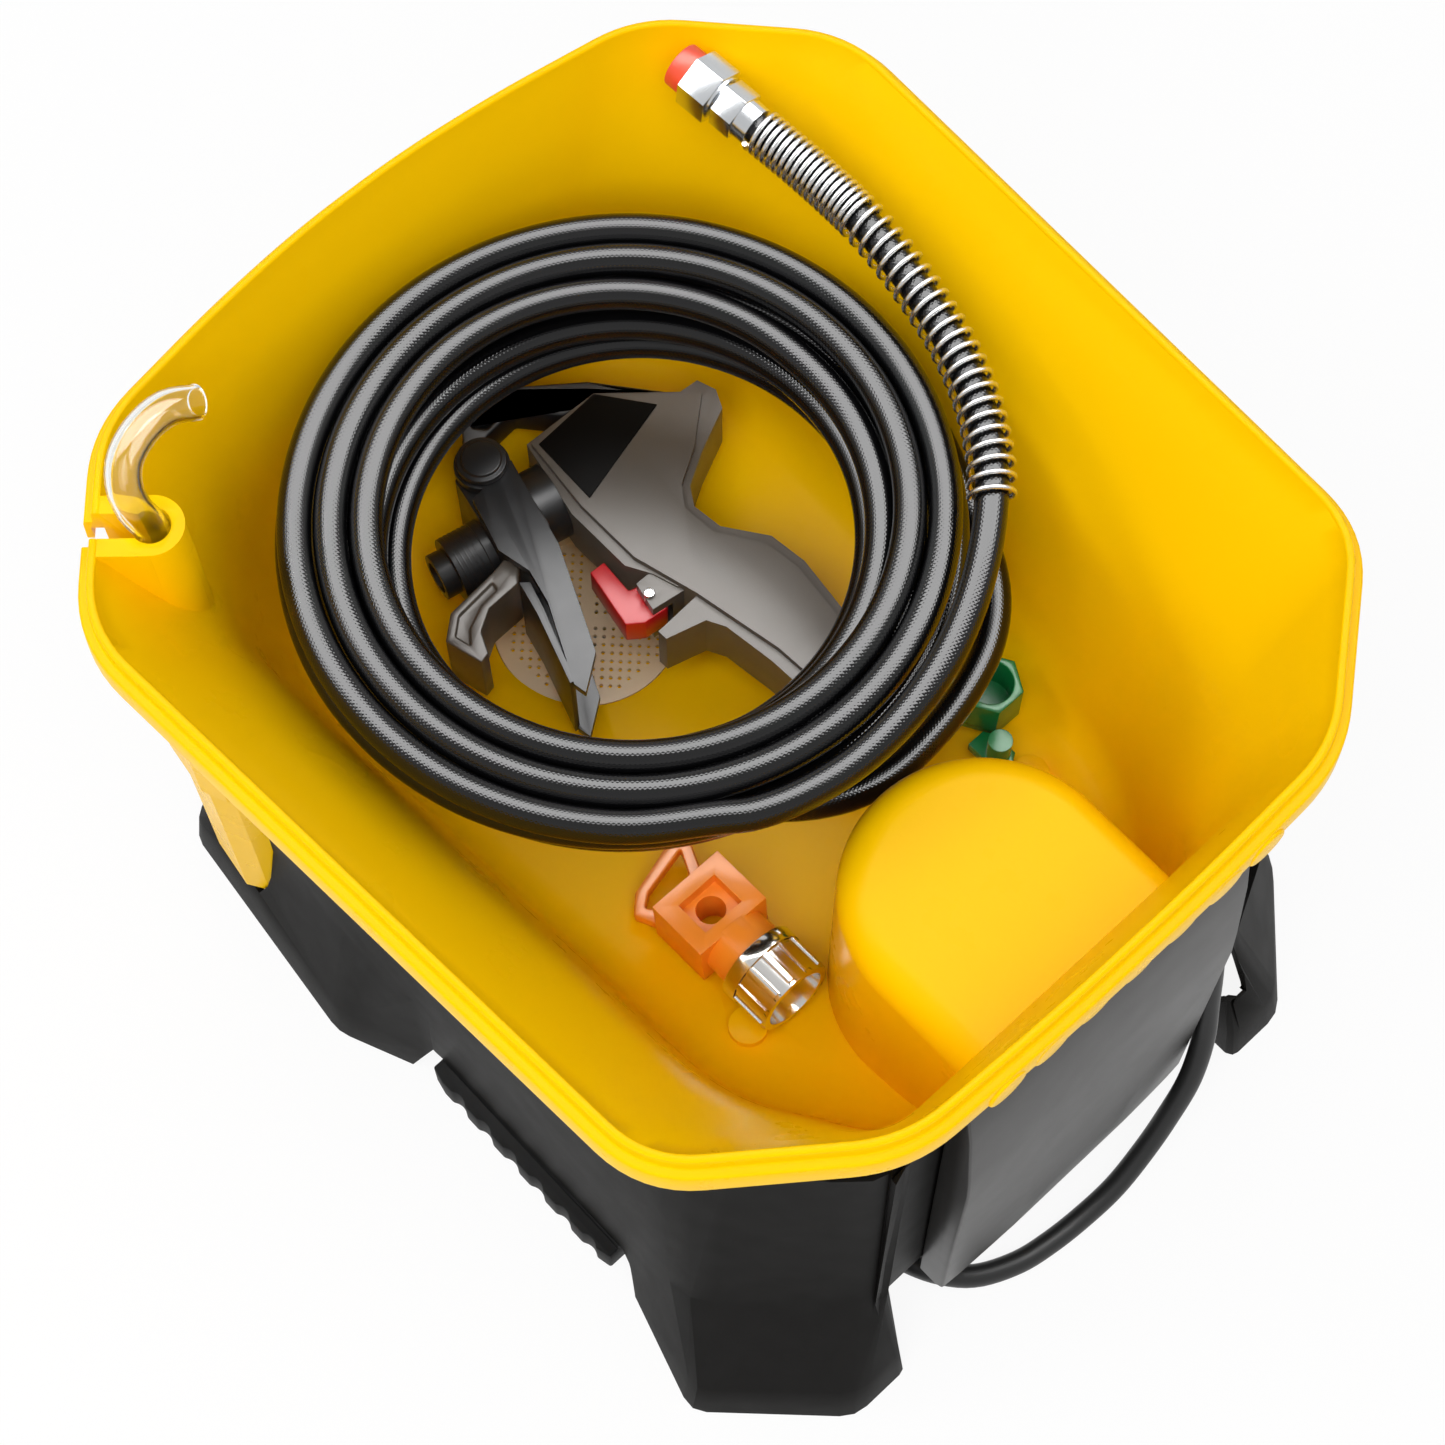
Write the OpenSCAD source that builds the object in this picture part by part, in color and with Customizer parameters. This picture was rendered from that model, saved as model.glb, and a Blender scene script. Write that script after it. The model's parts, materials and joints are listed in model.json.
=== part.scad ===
// Airless paint sprayer: an open paint hopper on a moulded base that holds a motor-driven
// piston pump, with its hose, spray gun and cleaning adapter stowed in the hopper.

/* [Hopper] */
// Height of the hopper rim above the floor
rim_z = 278; // [274:1:280]
// Depth of the crease between the two wall tiers, below the rim
crease_depth = 60; // [58:1:62]
// Depth of the outer edge of the hopper floor, below the rim
floor_depth = 148; // [146:1:148]
// Thickness of the hopper wall
hopper_wall = 3; // [2.6:0.1:3.2]
// Height of the skirt that hangs from the rim flange
skirt_h = 17; // [15:1:18]
// Number of finger lobes along the rear edge
lobe_count = 7; // [5:1:7]
// Distance between finger lobes
lobe_pitch = 19; // [18:1:20]
// Radius of the nose of the motor dome
dome_r = 49; // [48:1:50]
// Radius of the strainer seat
seat_r = 36; // [35:0.5:36]

/* [Base] */
// Height of the top edge of the base shell
base_top_z = 213; // [205:1:214]
// Thickness of the base wall
base_wall = 3; // [2.6:0.2:3.4]
// Height of the bottom plate above the floor
plate_z = 40; // [38:1:42]
// Half width of the rear cover panel
panel_half_w = 64; // [60:1:66]

/* [Pump] */
// Radius of the motor can
motor_r = 33; // [30:1:33]
// Throw of the eccentric
throw_r = 7; // [5:0.5:7]
// Radius of the pump plunger
plunger_r = 8; // [7:0.5:9]

/* [Hose] */
// Outside diameter of the spray hose
hose_d = 11.5; // [11:0.1:11.6]
// Radius of the stowed coil's outer loops, to the middle of the hose
coil_r = 115; // [112:0.5:115]
// Wire diameter of the spring guard
guard_wire = 1.9; // [1.7:0.1:2]

/* [Cord] */
// Diameter of the power cord
cord_d = 9; // [8:0.5:9]

/* [Gun] */
// Half thickness of the gun's head block
head_half = 17; // [16:0.5:17.4]
// Radius of the nose thread
nose_r = 12.5; // [12:0.1:12.7]

/* [Hidden] */
$fn = 48;

// Outline corners of one half, from the front to the rear: x, y, length of the rounding
rim_half = [[-186.5, -22, 18], [-182.5, -62, 16], [-173.6, -116.7, 16], [-120.2, -165, 18],
    [127.2, -152.2, 16], [173.6, -92.4, 16], [176, -30, 20]];
crease_half = [[-172, -18, 14], [-170, -50, 12], [-163, -90, 16], [-125, -124, 20],
    [113, -114.7, 20], [160, -85, 16], [160, -25, 14]];
floor_half = [[-156, -15, 10], [-156, -45, 10], [-156, -75, 14], [-122, -102, 18],
    [100, -92, 20], [150, -58, 16], [150, -20, 10]];
sump_x = -80;
sump_z = rim_z - 170;
dome_x = 122;
dome_top_z = rim_z - crease_depth;
key_x = -135;
key_y = -129;

base_foot_half = [[-163, -20, 8], [-163, -60, 8], [-163, -135, 6], [-157, -150, 5],
    [-54, -161, 5], [-14, -144, 6], [97, -144, 6], [150, -160, 6], [193.5, -116, 6],
    [193.5, -90, 3], [172, -84, 3], [172, -55, 5]];
base_skirt_half = [[-163, -20, 8], [-163, -60, 8], [-162, -131, 6], [-155, -147.5, 5],
    [-54, -157.5, 5], [-14, -142.5, 6], [98, -141.5, 6], [148.5, -156, 6], [190, -113, 6],
    [190, -90, 3], [172, -84, 3], [172, -55, 5]];
base_waist_half = [[-166, -20, 8], [-165, -60, 8], [-162, -100, 10], [-122, -141, 10],
    [-52, -143, 8], [-14, -141, 8], [98, -141, 8], [131, -143, 10], [173, -97, 10],
    [176, -90, 3], [171, -82, 3], [171, -55, 5]];
base_top_half = [[-183, -25, 12], [-179, -62, 12], [-170, -98, 14], [-124, -140, 14],
    [-52, -140, 8], [-14, -139.5, 8], [80, -136, 8], [121, -133, 14], [169, -96, 14],
    [170, -88, 2], [168.5, -80, 3], [168, -55, 5]];

motor_x = 111.5;
pinion_r = 10;
gear_r = 34;
gear_x = motor_x - pinion_r - gear_r;
gear_z = 84;
yoke_z = 66;
outlet_y = -52;

coil_x = -48;
coil_y = -2;
coil_top_z = 247;
hose_r = hose_d / 2;
layer_pitch = 12;

gun_x = -129.6;
gun_y = -1;
gun_z = 144.1;
gun_turn = 78.05;

adapter_x = 50;
adapter_y = -54;
adapter_z = 139;
adapter_tilt = 4;

// Points of the power cord's free run
cord_points = [[150, 90, 104], [154, 90, 104], [161, 88.5, 100.5], [167.5, 86, 93.5],
    [173.5, 81.5, 82], [179.5, 76, 68], [186.5, 69, 54], [192.5, 58, 40], [195.5, 45, 26],
    [197.5, 32, 16], [199, 16, 9], [198.5, 0, 5.5], [197, -16, 4.6], [194, -31, 4.6],
    [187, -46, 4.6], [177, -55.5, 4.6], [164, -62, 4.6], [148, -66, 4.6], [132, -68.2, 4.6],
    [116, -69.4, 4.6], [98, -69.6, 4.6], [80, -68.8, 4.6], [66, -68, 4.6]];
// Points of the hose between the coil and the free end
tail_points = [[53.5, -56, 247], [60.5, -46.2, 247], [66.5, -30, 247], [70, -9, 247.5], [69.3, 13, 249.4],
    [64.5, 35, 252], [56, 55, 255], [44, 73.5, 258], [29, 90, 260], [10, 103.5, 260.5],
    [-12, 113.5, 261], [-38, 120, 263], [-65, 123.5, 265.5],
    [-91.5, 123.3, 267.5], [-117.5, 121.1, 270]];
// Points of the clear tube over the rim
return_points = [[-149, 44, 91], [-149, 44, 98], [-149, 39, 105], [-148.5, 28, 108],
    [-147, 6, 108], [-145, -26, 108], [-142.5, -58, 108], [-139.5, -88, 108],
    [-136.5, -110, 110], [-135, -123, 117], [-135, -129, 128], [-135, -129, 165],
    [-135, -129, 210],
    [-135, -129, 250], [-135, -129, 274], [-135.8, -129.8, 281], [-138.8, -131, 287.5],
    [-143.6, -129.5, 293], [-149, -124, 297], [-153, -114, 298.5], [-154.5, -103, 297],
    [-153, -93, 291]];
// Points of the single hose loop under the coil, at the rear
lower_points = [[-51.9, 108.6, 211], [-40, 111, 211], [-25, 112.1, 209.4], [-8, 108.5, 205],
    [10, 102.5, 198], [27, 96.5, 193], [42, 87, 189.5], [53, 73, 188], [60, 55, 188],
    [63.8, 36, 188], [65, 16, 188.6], [62.5, 0, 190.6],
    [56, -14, 192.6], [47.5, -25, 193.4], [43.2, -29.4, 193.4]];

function unit(v) = v / norm(v);
function corner_points(a, p, b, t, n) = [for (i = [0:n - 1])
    let (s = i / (n - 1), u = p + unit(a - p) * t, v = p + unit(b - p) * t)
    u * (1 - s) * (1 - s) + p * 2 * s * (1 - s) + v * s * s];
function whole(h) = concat(h, [for (i = [len(h) - 1:-1:0]) [h[i][0], -h[i][1], h[i][2]]]);
function xy(p) = [p[0], p[1]];
function outline(v, n) = [for (i = [0:len(v) - 1])
    each corner_points(xy(v[(i + len(v) - 1) % len(v)]), xy(v[i]), xy(v[(i + 1) % len(v)]),
        v[i][2], n)];
function mix(a, b, t) = [for (i = [0:len(a) - 1]) a[i] * (1 - t) + b[i] * t];
function normal_at(r, i) =
    let (d = unit(r[(i + 1) % len(r)] - r[(i + len(r) - 1) % len(r)])) [d[1], -d[0]];
function grown(r, w) = [for (i = [0:len(r) - 1]) r[i] + normal_at(r, i) * w];
function at_z(r, z) = [for (p = r) [p[0], p[1], z]];
function round_ring(r, rad) = [for (p = r)
    [sump_x, 0] + unit(p - [sump_x, 0]) * rad];

rim_ring = outline(whole(rim_half), 4);
crease_ring = outline(whole(crease_half), 4);
floor_ring = outline(whole(floor_half), 4);
function wall_ring(d) = d <= crease_depth ? mix(rim_ring, crease_ring, d / crease_depth)
    : mix(crease_ring, floor_ring, (d - crease_depth) / (floor_depth - crease_depth));
function blend(a, b, c, s) = [for (i = [0:len(a) - 1])
    a[i] * (1 - s) * (1 - s) + b[i] * 2 * s * (1 - s) + c[i] * s * s];
function depth_ring(d) = at_z(wall_ring(d), rim_z - d);
function funnel_ring(s) = at_z(mix(floor_ring, round_ring(floor_ring, seat_r + 1.5), s),
    rim_z - floor_depth - (rim_z - floor_depth - sump_z) * s);

// Solid between stacked rings, with a flat cap at each end
module loft(rings) {
    n = len(rings[0]);
    m = len(rings);
    polyhedron(points = [for (r = rings) each r], faces = concat(
        [[for (i = [0:n - 1]) i]],
        [[for (i = [n - 1:-1:0]) (m - 1) * n + i]],
        [for (k = [0:m - 2], i = [0:n - 1]) let (j = (i + 1) % n)
            each [[k * n + i, (k + 1) * n + i, (k + 1) * n + j],
                [k * n + i, (k + 1) * n + j, k * n + j]]]), convexity = 8);
}

// Closed shell between rings that run up the outside and down the inside
module ring_loft(rings) {
    n = len(rings[0]);
    m = len(rings);
    polyhedron(points = [for (r = rings) each r], faces =
        [for (k = [0:m - 1], i = [0:n - 1]) let (j = (i + 1) % n, q = (k + 1) % m)
            each [[k * n + i, q * n + i, q * n + j],
                [k * n + i, q * n + j, k * n + j]]], convexity = 10);
}

function heading(p, i) = unit(p[min(i + 1, len(p) - 1)] - p[max(i - 1, 0)]);
function tube_ring(p, i, ref, r, n) =
    let (t = heading(p, i), s = unit(cross(t, ref)), u = cross(t, s))
    [for (k = [0:n - 1]) p[i] + (s * cos(360 * k / n) + u * sin(360 * k / n)) * r];

// Tube swept along points; the rings are square to the run
module tube(p, r, n, ref = [0, 0, 1]) {
    loft([for (i = [0:len(p) - 1]) tube_ring(p, i, is_list(ref[0]) ? ref[i] : ref, r, n)]);
}

// Hollow tube swept along points
module pipe(p, r, bore, n, ref) {
    last = len(p) - 1;
    ring_loft(concat([for (i = [0:last]) tube_ring(p, i, ref, r, n)],
        [for (i = [last:-1:0]) tube_ring(p, i, ref, bore, n)]));
}

// Round bar along X
module bar_x(x0, x1, y, z, r) {
    translate([x0, y, z])
        rotate([0, 90, 0])
            cylinder(h = x1 - x0, r = r);
}

// Hexagonal bar along X
module hex_x(x0, x1, y, z, flats) {
    translate([x0, y, z])
        rotate([0, 90, 0])
            cylinder(h = x1 - x0, r = flats / sqrt(3), $fn = 6);
}

// Flat outline raised between two heights
module slab(pts, z0, z1) {
    translate([0, 0, z0])
        linear_extrude(z1 - z0)
            polygon(pts);
}

module hopper_wall_loft() {
    w = hopper_wall;
    ledge = grown(rim_ring, 3);
    loft([
        at_z(round_ring(floor_ring, seat_r + 4), sump_z - 8),
        at_z(mix(grown(floor_ring, 0), round_ring(floor_ring, seat_r + 4), 0.08),
            rim_z - floor_depth - w),
        at_z(grown(wall_ring(floor_depth - 8), w), rim_z - floor_depth + 6),
        at_z(grown(wall_ring(crease_depth + 2), w), rim_z - crease_depth - 2),
        at_z(grown(wall_ring(crease_depth - 6), w), rim_z - crease_depth + 6),
        at_z(grown(wall_ring(10), w), rim_z - 10),
        at_z(grown(rim_ring, 4.5), rim_z - 10),
        at_z(grown(rim_ring, 4.5), rim_z - skirt_h),
        at_z(grown(rim_ring, 7), rim_z - skirt_h),
        at_z(grown(rim_ring, 6.5), rim_z - 7),
        at_z(grown(rim_ring, 3.2), rim_z - 6),
        at_z(ledge, rim_z - 0.8),
        at_z(grown(rim_ring, 2.2), rim_z),
        at_z(grown(rim_ring, 0.8), rim_z),
        at_z(rim_ring, rim_z - 0.8),
        depth_ring(crease_depth - 12),
        blend(depth_ring(crease_depth - 12), depth_ring(crease_depth),
            depth_ring(crease_depth + 14), 0.33),
        blend(depth_ring(crease_depth - 12), depth_ring(crease_depth),
            depth_ring(crease_depth + 14), 0.67),
        depth_ring(crease_depth + 14),
        depth_ring(floor_depth - 12),
        blend(depth_ring(floor_depth - 12), depth_ring(floor_depth), funnel_ring(0.16), 0.33),
        blend(depth_ring(floor_depth - 12), depth_ring(floor_depth), funnel_ring(0.16), 0.67),
        funnel_ring(0.16),
        funnel_ring(1)]);
}

// Upright block with a round nose and a rounded top, for the dome and its hollow
module dome_block(r, top, low, edge) {
    translate([dome_x, 0, low])
        rotate_extrude()
            dome_profile(r, top - low, edge);
    translate([dome_x, 0, low])
        rotate([90, 0, 90])
            linear_extrude(60) {
                dome_profile(r, top - low, edge);
                mirror([1, 0])
                    dome_profile(r, top - low, edge);
            }
}

module dome_profile(r, h, edge) {
    square([r - edge, h]);
    square([r, h - edge]);
    translate([r - edge, h - edge])
        intersection() {
            circle(edge);
            square(edge);
        }
}

// Outlines of the post's foot, and of its head against the chamfered wall
post_foot = [[-150, -136], [-136, -149], [-115, -152], [-107, -147], [-100, -134],
    [-104, -120], [-122, -112], [-146, -118]];
post_head = [[-152, -138], [-138, -151], [-116, -154], [-106, -150], [-100, -138],
    [-103, -108], [-124, -98], [-150, -84]];

// Upright post beside the front corner that carries the clear tube down
module corner_column(gap = 0) {
    difference() {
        union() {
            translate([0, 0, 27 - gap])
                linear_extrude(rim_z - floor_depth - 27)
                    polygon(grown(post_foot, gap));
            translate([0, 0, rim_z - floor_depth - 2 - gap])
                linear_extrude(floor_depth - 25 + gap)
                    polygon(grown(post_head, gap));
        }
        for (a = [11, 24.5])
            translate([-144, -107, rim_z - crease_depth])
                rotate([0, 0, 228])
                    rotate([0, a, 0])
                        translate([-198.5 - gap, -100, a > 20 ? -20 : -86])
                            cube([200, 200, 200]);
    }
}

module hopper_posts() {
    for (x = [-110, 84], y = [-70, 70])
        translate([x, y, plate_z + 3])
            cylinder(h = rim_z - floor_depth - plate_z - 5, r = 7);
}

module hopper() {
    color("gold")
        difference() {
            union() {
                hopper_wall_loft();
                corner_column();
                hopper_posts();
                translate([sump_x, 0, 91])
                    cylinder(h = sump_z - 98, r1 = 17, r2 = seat_r + 2);
                translate([sump_x, 0, 84])
                    cylinder(h = 9, r = 17);
                translate([key_x, key_y, rim_z - 62])
                    cylinder(h = 61.7, r = 11);
                translate([key_x, key_y, rim_z - 40])
                    rotate([0, 0, 228])
                        translate([0, -10.6, 0])
                            cube([17, 21.2, 39.4]);
                difference() {
                    dome_block(dome_r, dome_top_z, rim_z - floor_depth - 4, 16);
                    translate([161.5, 0, dome_top_z])
                        rotate([0, 6.5, 0])
                            translate([0, -60, -150])
                                cube([60, 120, 220]);
                }
                finger_lobes();
            }
            difference() {
                dome_block(dome_r - 3, dome_top_z - 3, rim_z - floor_depth - 30, 14);
                translate([156.5, 0, dome_top_z])
                    rotate([0, 6.5, 0])
                        translate([0, -60, -150])
                            cube([60, 120, 220]);
            }
            translate([sump_x, 0, sump_z - 2])
                cylinder(h = 8, r = seat_r);
            translate([sump_x, 0, sump_z - 14])
                cylinder(h = 12.5, r1 = 11, r2 = seat_r - 3);
            translate([sump_x, 0, 80])
                cylinder(h = 16, r = 11);
            translate([key_x, key_y, 104])
                cylinder(h = rim_z, r = 6.6);
            translate([key_x - 13, key_y - 7, 98])
                cube([22, 30, 29.8]);
            translate([key_x, key_y, rim_z - 30])
                rotate([0, 0, 228])
                    translate([0, -4.5, 0])
                        cube([40, 9, 40]);
            for (x = [-110, 84], y = [-70, 70])
                translate([x, y, plate_z])
                    cylinder(h = 24, r = 2.1);
        }
}

// Rounded tabs under the rear rim
module finger_lobes() {
    for (i = [0:lobe_count - 1])
        bar_x(180, 182.4, 58 - i * lobe_pitch, rim_z - 15.5, 7.6);
}

module strainer() {
    color("ivory")
        difference() {
            translate([sump_x, 0, sump_z - 2])
                union() {
                    cylinder(h = 1.6, r = seat_r - 0.3);
                    difference() {
                        cylinder(h = 2.2, r = seat_r - 0.3);
                        translate([0, 0, -1])
                            cylinder(h = 5, r = seat_r - 3);
                    }
                }
            for (q = [0:90:270], i = [0:3], j = [0:3])
                if (norm([6 + i * 6, 6 + j * 6]) < seat_r - 7)
                    translate([sump_x, 0, sump_z - 4])
                        rotate([0, 0, q + 45])
                            translate([6 + i * 6, 6 + j * 6, 0])
                                cylinder(h = 8, r = 1.2, $fn = 16);
        }
}

module return_tube() {
    color([0.9, 0.95, 1, 0.35])
        pipe(return_points, 6, 4.6, 12, [1, 0, 0]);
}

function base_ring(h, w, z) = at_z(grown(outline(whole(h), 3), -w), z);

// Back wall of the pocket where the power cord leaves
module cord_pocket_wall() {
    rotate([90, 0, 0])
        translate([0, 0, -100])
            linear_extrude(32)
                polygon([[127, plate_z + 3.2], [130, plate_z + 3.2], [130, 112], [152, 122],
                    [152, 126], [127, 116]]);
}

module base_shell() {
    w = base_wall;
    color([0.13, 0.13, 0.13])
        difference() {
            union() {
                ring_loft([
                    base_ring(base_foot_half, 0, 0),
                    base_ring(base_skirt_half, 0, 20),
                    base_ring(base_waist_half, 0, 70),
                    base_ring(base_top_half, 0, base_top_z - 1),
                    base_ring(base_top_half, 1, base_top_z),
                    base_ring(base_top_half, w, base_top_z),
                    base_ring(base_waist_half, w, 70),
                    base_ring(base_skirt_half, w, 20),
                    base_ring(base_foot_half, w, 0)]);
                cord_pocket_wall();
                base_ledges();
            }
            side_arch();
            mirror([0, 1, 0])
                side_arch();
            rear_arches();
            cord_pocket();
            front_openings();
            corner_column(1);
        }
}

// Ledges inside the shell that the bottom plate rests on
module base_ledges() {
    translate([-130, 127, plate_z - 4])
        cube([18, 16, 4]);
    for (y = [-139.5, 127])
        translate([45, y, plate_z - 4])
            cube([30, 12.5, 4]);
}

// Opening in the side above the floor for the fingers
module side_arch() {
    translate([0, -120, 0])
        rotate([90, 0, 0])
            linear_extrude(60)
                polygon([[-24, -1], [-14, 30], [93, 30], [104, -1]]);
}

module rear_arches() {
    translate([150, -panel_half_w - 6, -1])
        cube([60, 2 * panel_half_w + 12, 25]);
    for (s = [-1, 1])
        translate([150, s > 0 ? 60 : -84, -1])
            cube([60, 24, 39]);
    for (s = [-1, 1])
        translate([150, s > 0 ? 60 : -89, -1])
            cube([60, 29, 21]);
}

module cord_pocket() {
    translate([0, 98, 0])
        rotate([90, 0, 0])
            linear_extrude(28)
                polygon([[131, plate_z + 4], [131, 100], [152, 121], [162, 220], [230, 220],
                    [230, plate_z + 4]]);
    translate([120, 90, 104])
        rotate([0, 90, 0])
            cylinder(h = 20, r = 6.2);
}

// Holes in the front wall for the outlet, the knobs, the button and the switch
module front_openings() {
    for (p = [[outlet_y, yoke_z + 2, 8.2], [0, 78, 7], [48, 78, 7], [-26, 78, 6]])
        bar_x(-190, -150, p[0], p[1], p[2]);
    translate([-190, 74, 66.7])
        cube([40, 18, 24.6]);
}

module rear_panel() {
    color([0.15, 0.15, 0.15])
        difference() {
            intersection() {
                rotate([90, 0, 0])
                    translate([0, 0, -panel_half_w])
                        linear_extrude(2 * panel_half_w)
                            polygon([[172.3, 24], [181, 24], [184.5, 28], [186.4, 36],
                                [187, 60], [186.8, 95], [185.6, 135], [183, 175],
                                [179.6, 212], [176, 236], [173.4, 238], [171.6, 236],
                                [169, 214], [171.3, 70]]);
                translate([187 - 700, 0, 0])
                    cylinder(h = 250, r = 700, $fn = 400);
            }
            translate([174.5, -panel_half_w + 4, 30])
                rotate([0, -2, 0])
                    cube([4, 2 * panel_half_w - 8, 176]);
        }
}

module side_grips() {
    color([0.1, 0.1, 0.1])
        for (s = [0, 1])
            mirror([0, s, 0])
                difference() {
                    union() {
                        slab([[-10, -146.5], [-3, -148], [84, -148], [91, -146.5], [91, -128],
                            [-10, -128]], 10, 26);
                        slab([[-10, -142], [91, -142], [91, -132], [-10, -132]], 25, 30);
                    }
                    for (i = [0:5])
                        translate([6 + i * 15, -152.5, 0])
                            cylinder(h = 60, r = 6);
                }
}

module bottom_plate() {
    color([0.16, 0.16, 0.16])
        difference() {
            union() {
                slab([[-157, -96], [-120, -134], [90, -134], [124, -128], [164, -76],
                    [164, 60], [124, 64], [124, 128], [90, 134], [-120, 134], [-157, 96]],
                    plate_z, plate_z + 3);
                translate([motor_x, 0, plate_z])
                    cylinder(h = 5, r = 12);
            }
            for (x = [-110, 84], y = [-70, 70])
                translate([x, y, plate_z - 1])
                    cylinder(h = 5, r = 2.6);
            translate([motor_x, 0, plate_z - 1])
                cylinder(h = 8, r = 6);
            corner_column(1);
            for (y = [-12:6:12])
                translate([20, y - 1.5, plate_z - 1])
                    cube([40, 3, 5]);
        }
}

module rubber_feet() {
    color([0.08, 0.08, 0.08])
        for (p = [[-138, -92], [-138, 92], [120, -120], [120, 120]])
            translate([p[0], p[1], 0])
                difference() {
                    cylinder(h = plate_z, r = 9);
                    translate([0, 0, -1])
                        cylinder(h = 5, r = 4);
                }
}

module housing_screws() {
    color("silver")
        for (x = [-110, 84], y = [-70, 70])
            translate([x, y, 0])
                difference() {
                    union() {
                        translate([0, 0, plate_z - 2.6])
                            cylinder(h = 2.6, r = 4.4);
                        translate([0, 0, plate_z - 0.5])
                            cylinder(h = 20, r = 2.05);
                    }
                    translate([0, 0, plate_z - 3.6])
                        cylinder(h = 2.4, r = 1.8, $fn = 6);
                }
}

module motor_can() {
    color("silver")
        translate([motor_x, 0, 0])
            difference() {
                union() {
                    translate([0, 0, 102])
                        cylinder(h = 90, r = motor_r);
                    translate([0, 0, 98])
                        cylinder(h = 5, r = 16);
                    translate([0, 0, 192])
                        cylinder(h = 6, r = 14);
                }
                translate([0, 0, 105])
                    cylinder(h = 84, r = motor_r - 2.5);
                translate([0, 0, 90])
                    cylinder(h = 120, r = 4.05);
                for (a = [0:60:300])
                    rotate([0, 0, a])
                        translate([19, 0, 185])
                            cylinder(h = 10, r = 4.5);
            }
}

// Toothed wheel with straight flanks
module spur(r, teeth, h) {
    linear_extrude(h)
        polygon([for (i = [0:teeth - 1], k = [[-0.23, -2.1], [-0.15, 1.6], [0.15, 1.6],
            [0.23, -2.1]]) let (a = 360 * (i + k[0]) / teeth)
            (r + k[1]) * [cos(a), sin(a)]]);
}

module motor_rotor() {
    color("steelblue")
        translate([motor_x, 0, 0]) {
            translate([0, 0, gear_z - 4])
                cylinder(h = 122, r = 4);
            translate([0, 0, gear_z])
                spur(pinion_r, 15, 10);
            translate([0, 0, 112])
                cylinder(h = 60, r = motor_r - 10);
            translate([0, 0, 177])
                difference() {
                    cylinder(h = 6, r = motor_r - 6);
                    for (a = [0:30:330])
                        rotate([0, 0, a])
                            translate([14, -1.5, 1.5])
                                cube([30, 3, 6]);
                }
        }
}

module gearbox() {
    color("darkgray")
        difference() {
            union() {
                slab([[30, -42], [150, -42], [150, 42], [30, 42]], 97.5, 101.7);
                for (x = [35, 144], y = [-36, 36])
                    translate([x, y, plate_z + 3])
                        cylinder(h = 56, r = 4.5);
                translate([gear_x, 0, 101])
                    cylinder(h = 6, r = 10);
            }
            translate([motor_x, 0, 90])
                cylinder(h = 20, r = 17);
            translate([gear_x, 0, 90])
                cylinder(h = 16, r = 5.05);
        }
}

module drive_gear() {
    color("tan")
        translate([gear_x, 0, 0]) {
            translate([0, 0, gear_z + 0.4])
                spur(gear_r, 51, 9);
            translate([0, 0, gear_z + 9])
                cylinder(h = 11, r = 5);
            translate([0, 0, gear_z - 6])
                cylinder(h = 8, r = 14);
            translate([0, throw_r, yoke_z - 9])
                cylinder(h = gear_z - yoke_z + 5, r = 5);
        }
}

module piston_yoke() {
    color("lightgray")
        union() {
            difference() {
                translate([gear_x - 26, -22, yoke_z - 8])
                    cube([52, 44, 16]);
                translate([gear_x - 20, -15, yoke_z - 10])
                    cube([40, 30, 20]);
            }
            bar_x(-24, gear_x - 25, 0, yoke_z, plunger_r);
        }
}

module pump_body() {
    color("silver")
        difference() {
            union() {
                translate([-108, -22, yoke_z - 18])
                    cube([94, 44, 36]);
                for (x = [-104, -18])
                    translate([x - 5, -34, plate_z + 3])
                        cube([10, 68, 12]);
                bar_x(-20, -2, 0, yoke_z, 17);
                translate([-100, -40, yoke_z - 8])
                    cube([14, 20, 20]);
            }
            bar_x(-96, -1, 0, yoke_z, plunger_r + 0.06);
            bar_x(-12, -1, 0, yoke_z, 12);
            translate([sump_x, 0, yoke_z])
                cylinder(h = 30, r = 6);
        }
}

module packing_nut() {
    color("goldenrod")
        difference() {
            union() {
                bar_x(-11.9, -1.5, 0, yoke_z, 11.9);
                hex_x(-1.9, 8, 0, yoke_z, 30);
            }
            bar_x(-20, 20, 0, yoke_z, plunger_r + 0.08);
        }
}

module inlet_valve() {
    color("silver")
        difference() {
            translate([sump_x, 0, 0])
                union() {
                    translate([0, 0, yoke_z + 18])
                        cylinder(h = 9, r = 10.7);
                    translate([0, 0, yoke_z + 8])
                        cylinder(h = 12, r = 6);
                }
            translate([sump_x, 0, 60])
                cylinder(h = 60, r = 3.5);
        }
}

module outlet_pipe() {
    color("silver")
        difference() {
            union() {
                translate([-93, -40, yoke_z + 2])
                    rotate([90, 0, 0])
                        cylinder(h = 12, r = 6);
                translate([-93, outlet_y, yoke_z + 2])
                    sphere(r = 6);
                bar_x(-150, -93, outlet_y, yoke_z + 2, 6);
            }
            bar_x(-151, -93, outlet_y, yoke_z + 2, 3);
        }
}

module outlet_fitting() {
    color("silver")
        difference() {
            union() {
                hex_x(-160, -150, outlet_y, yoke_z + 2, 19);
                bar_x(-174, -159, outlet_y, yoke_z + 2, 7.2);
                bar_x(-190, -174, outlet_y, yoke_z + 2, 7.9);
            }
            bar_x(-200, -140, outlet_y, yoke_z + 2, 3);
        }
}

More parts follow.
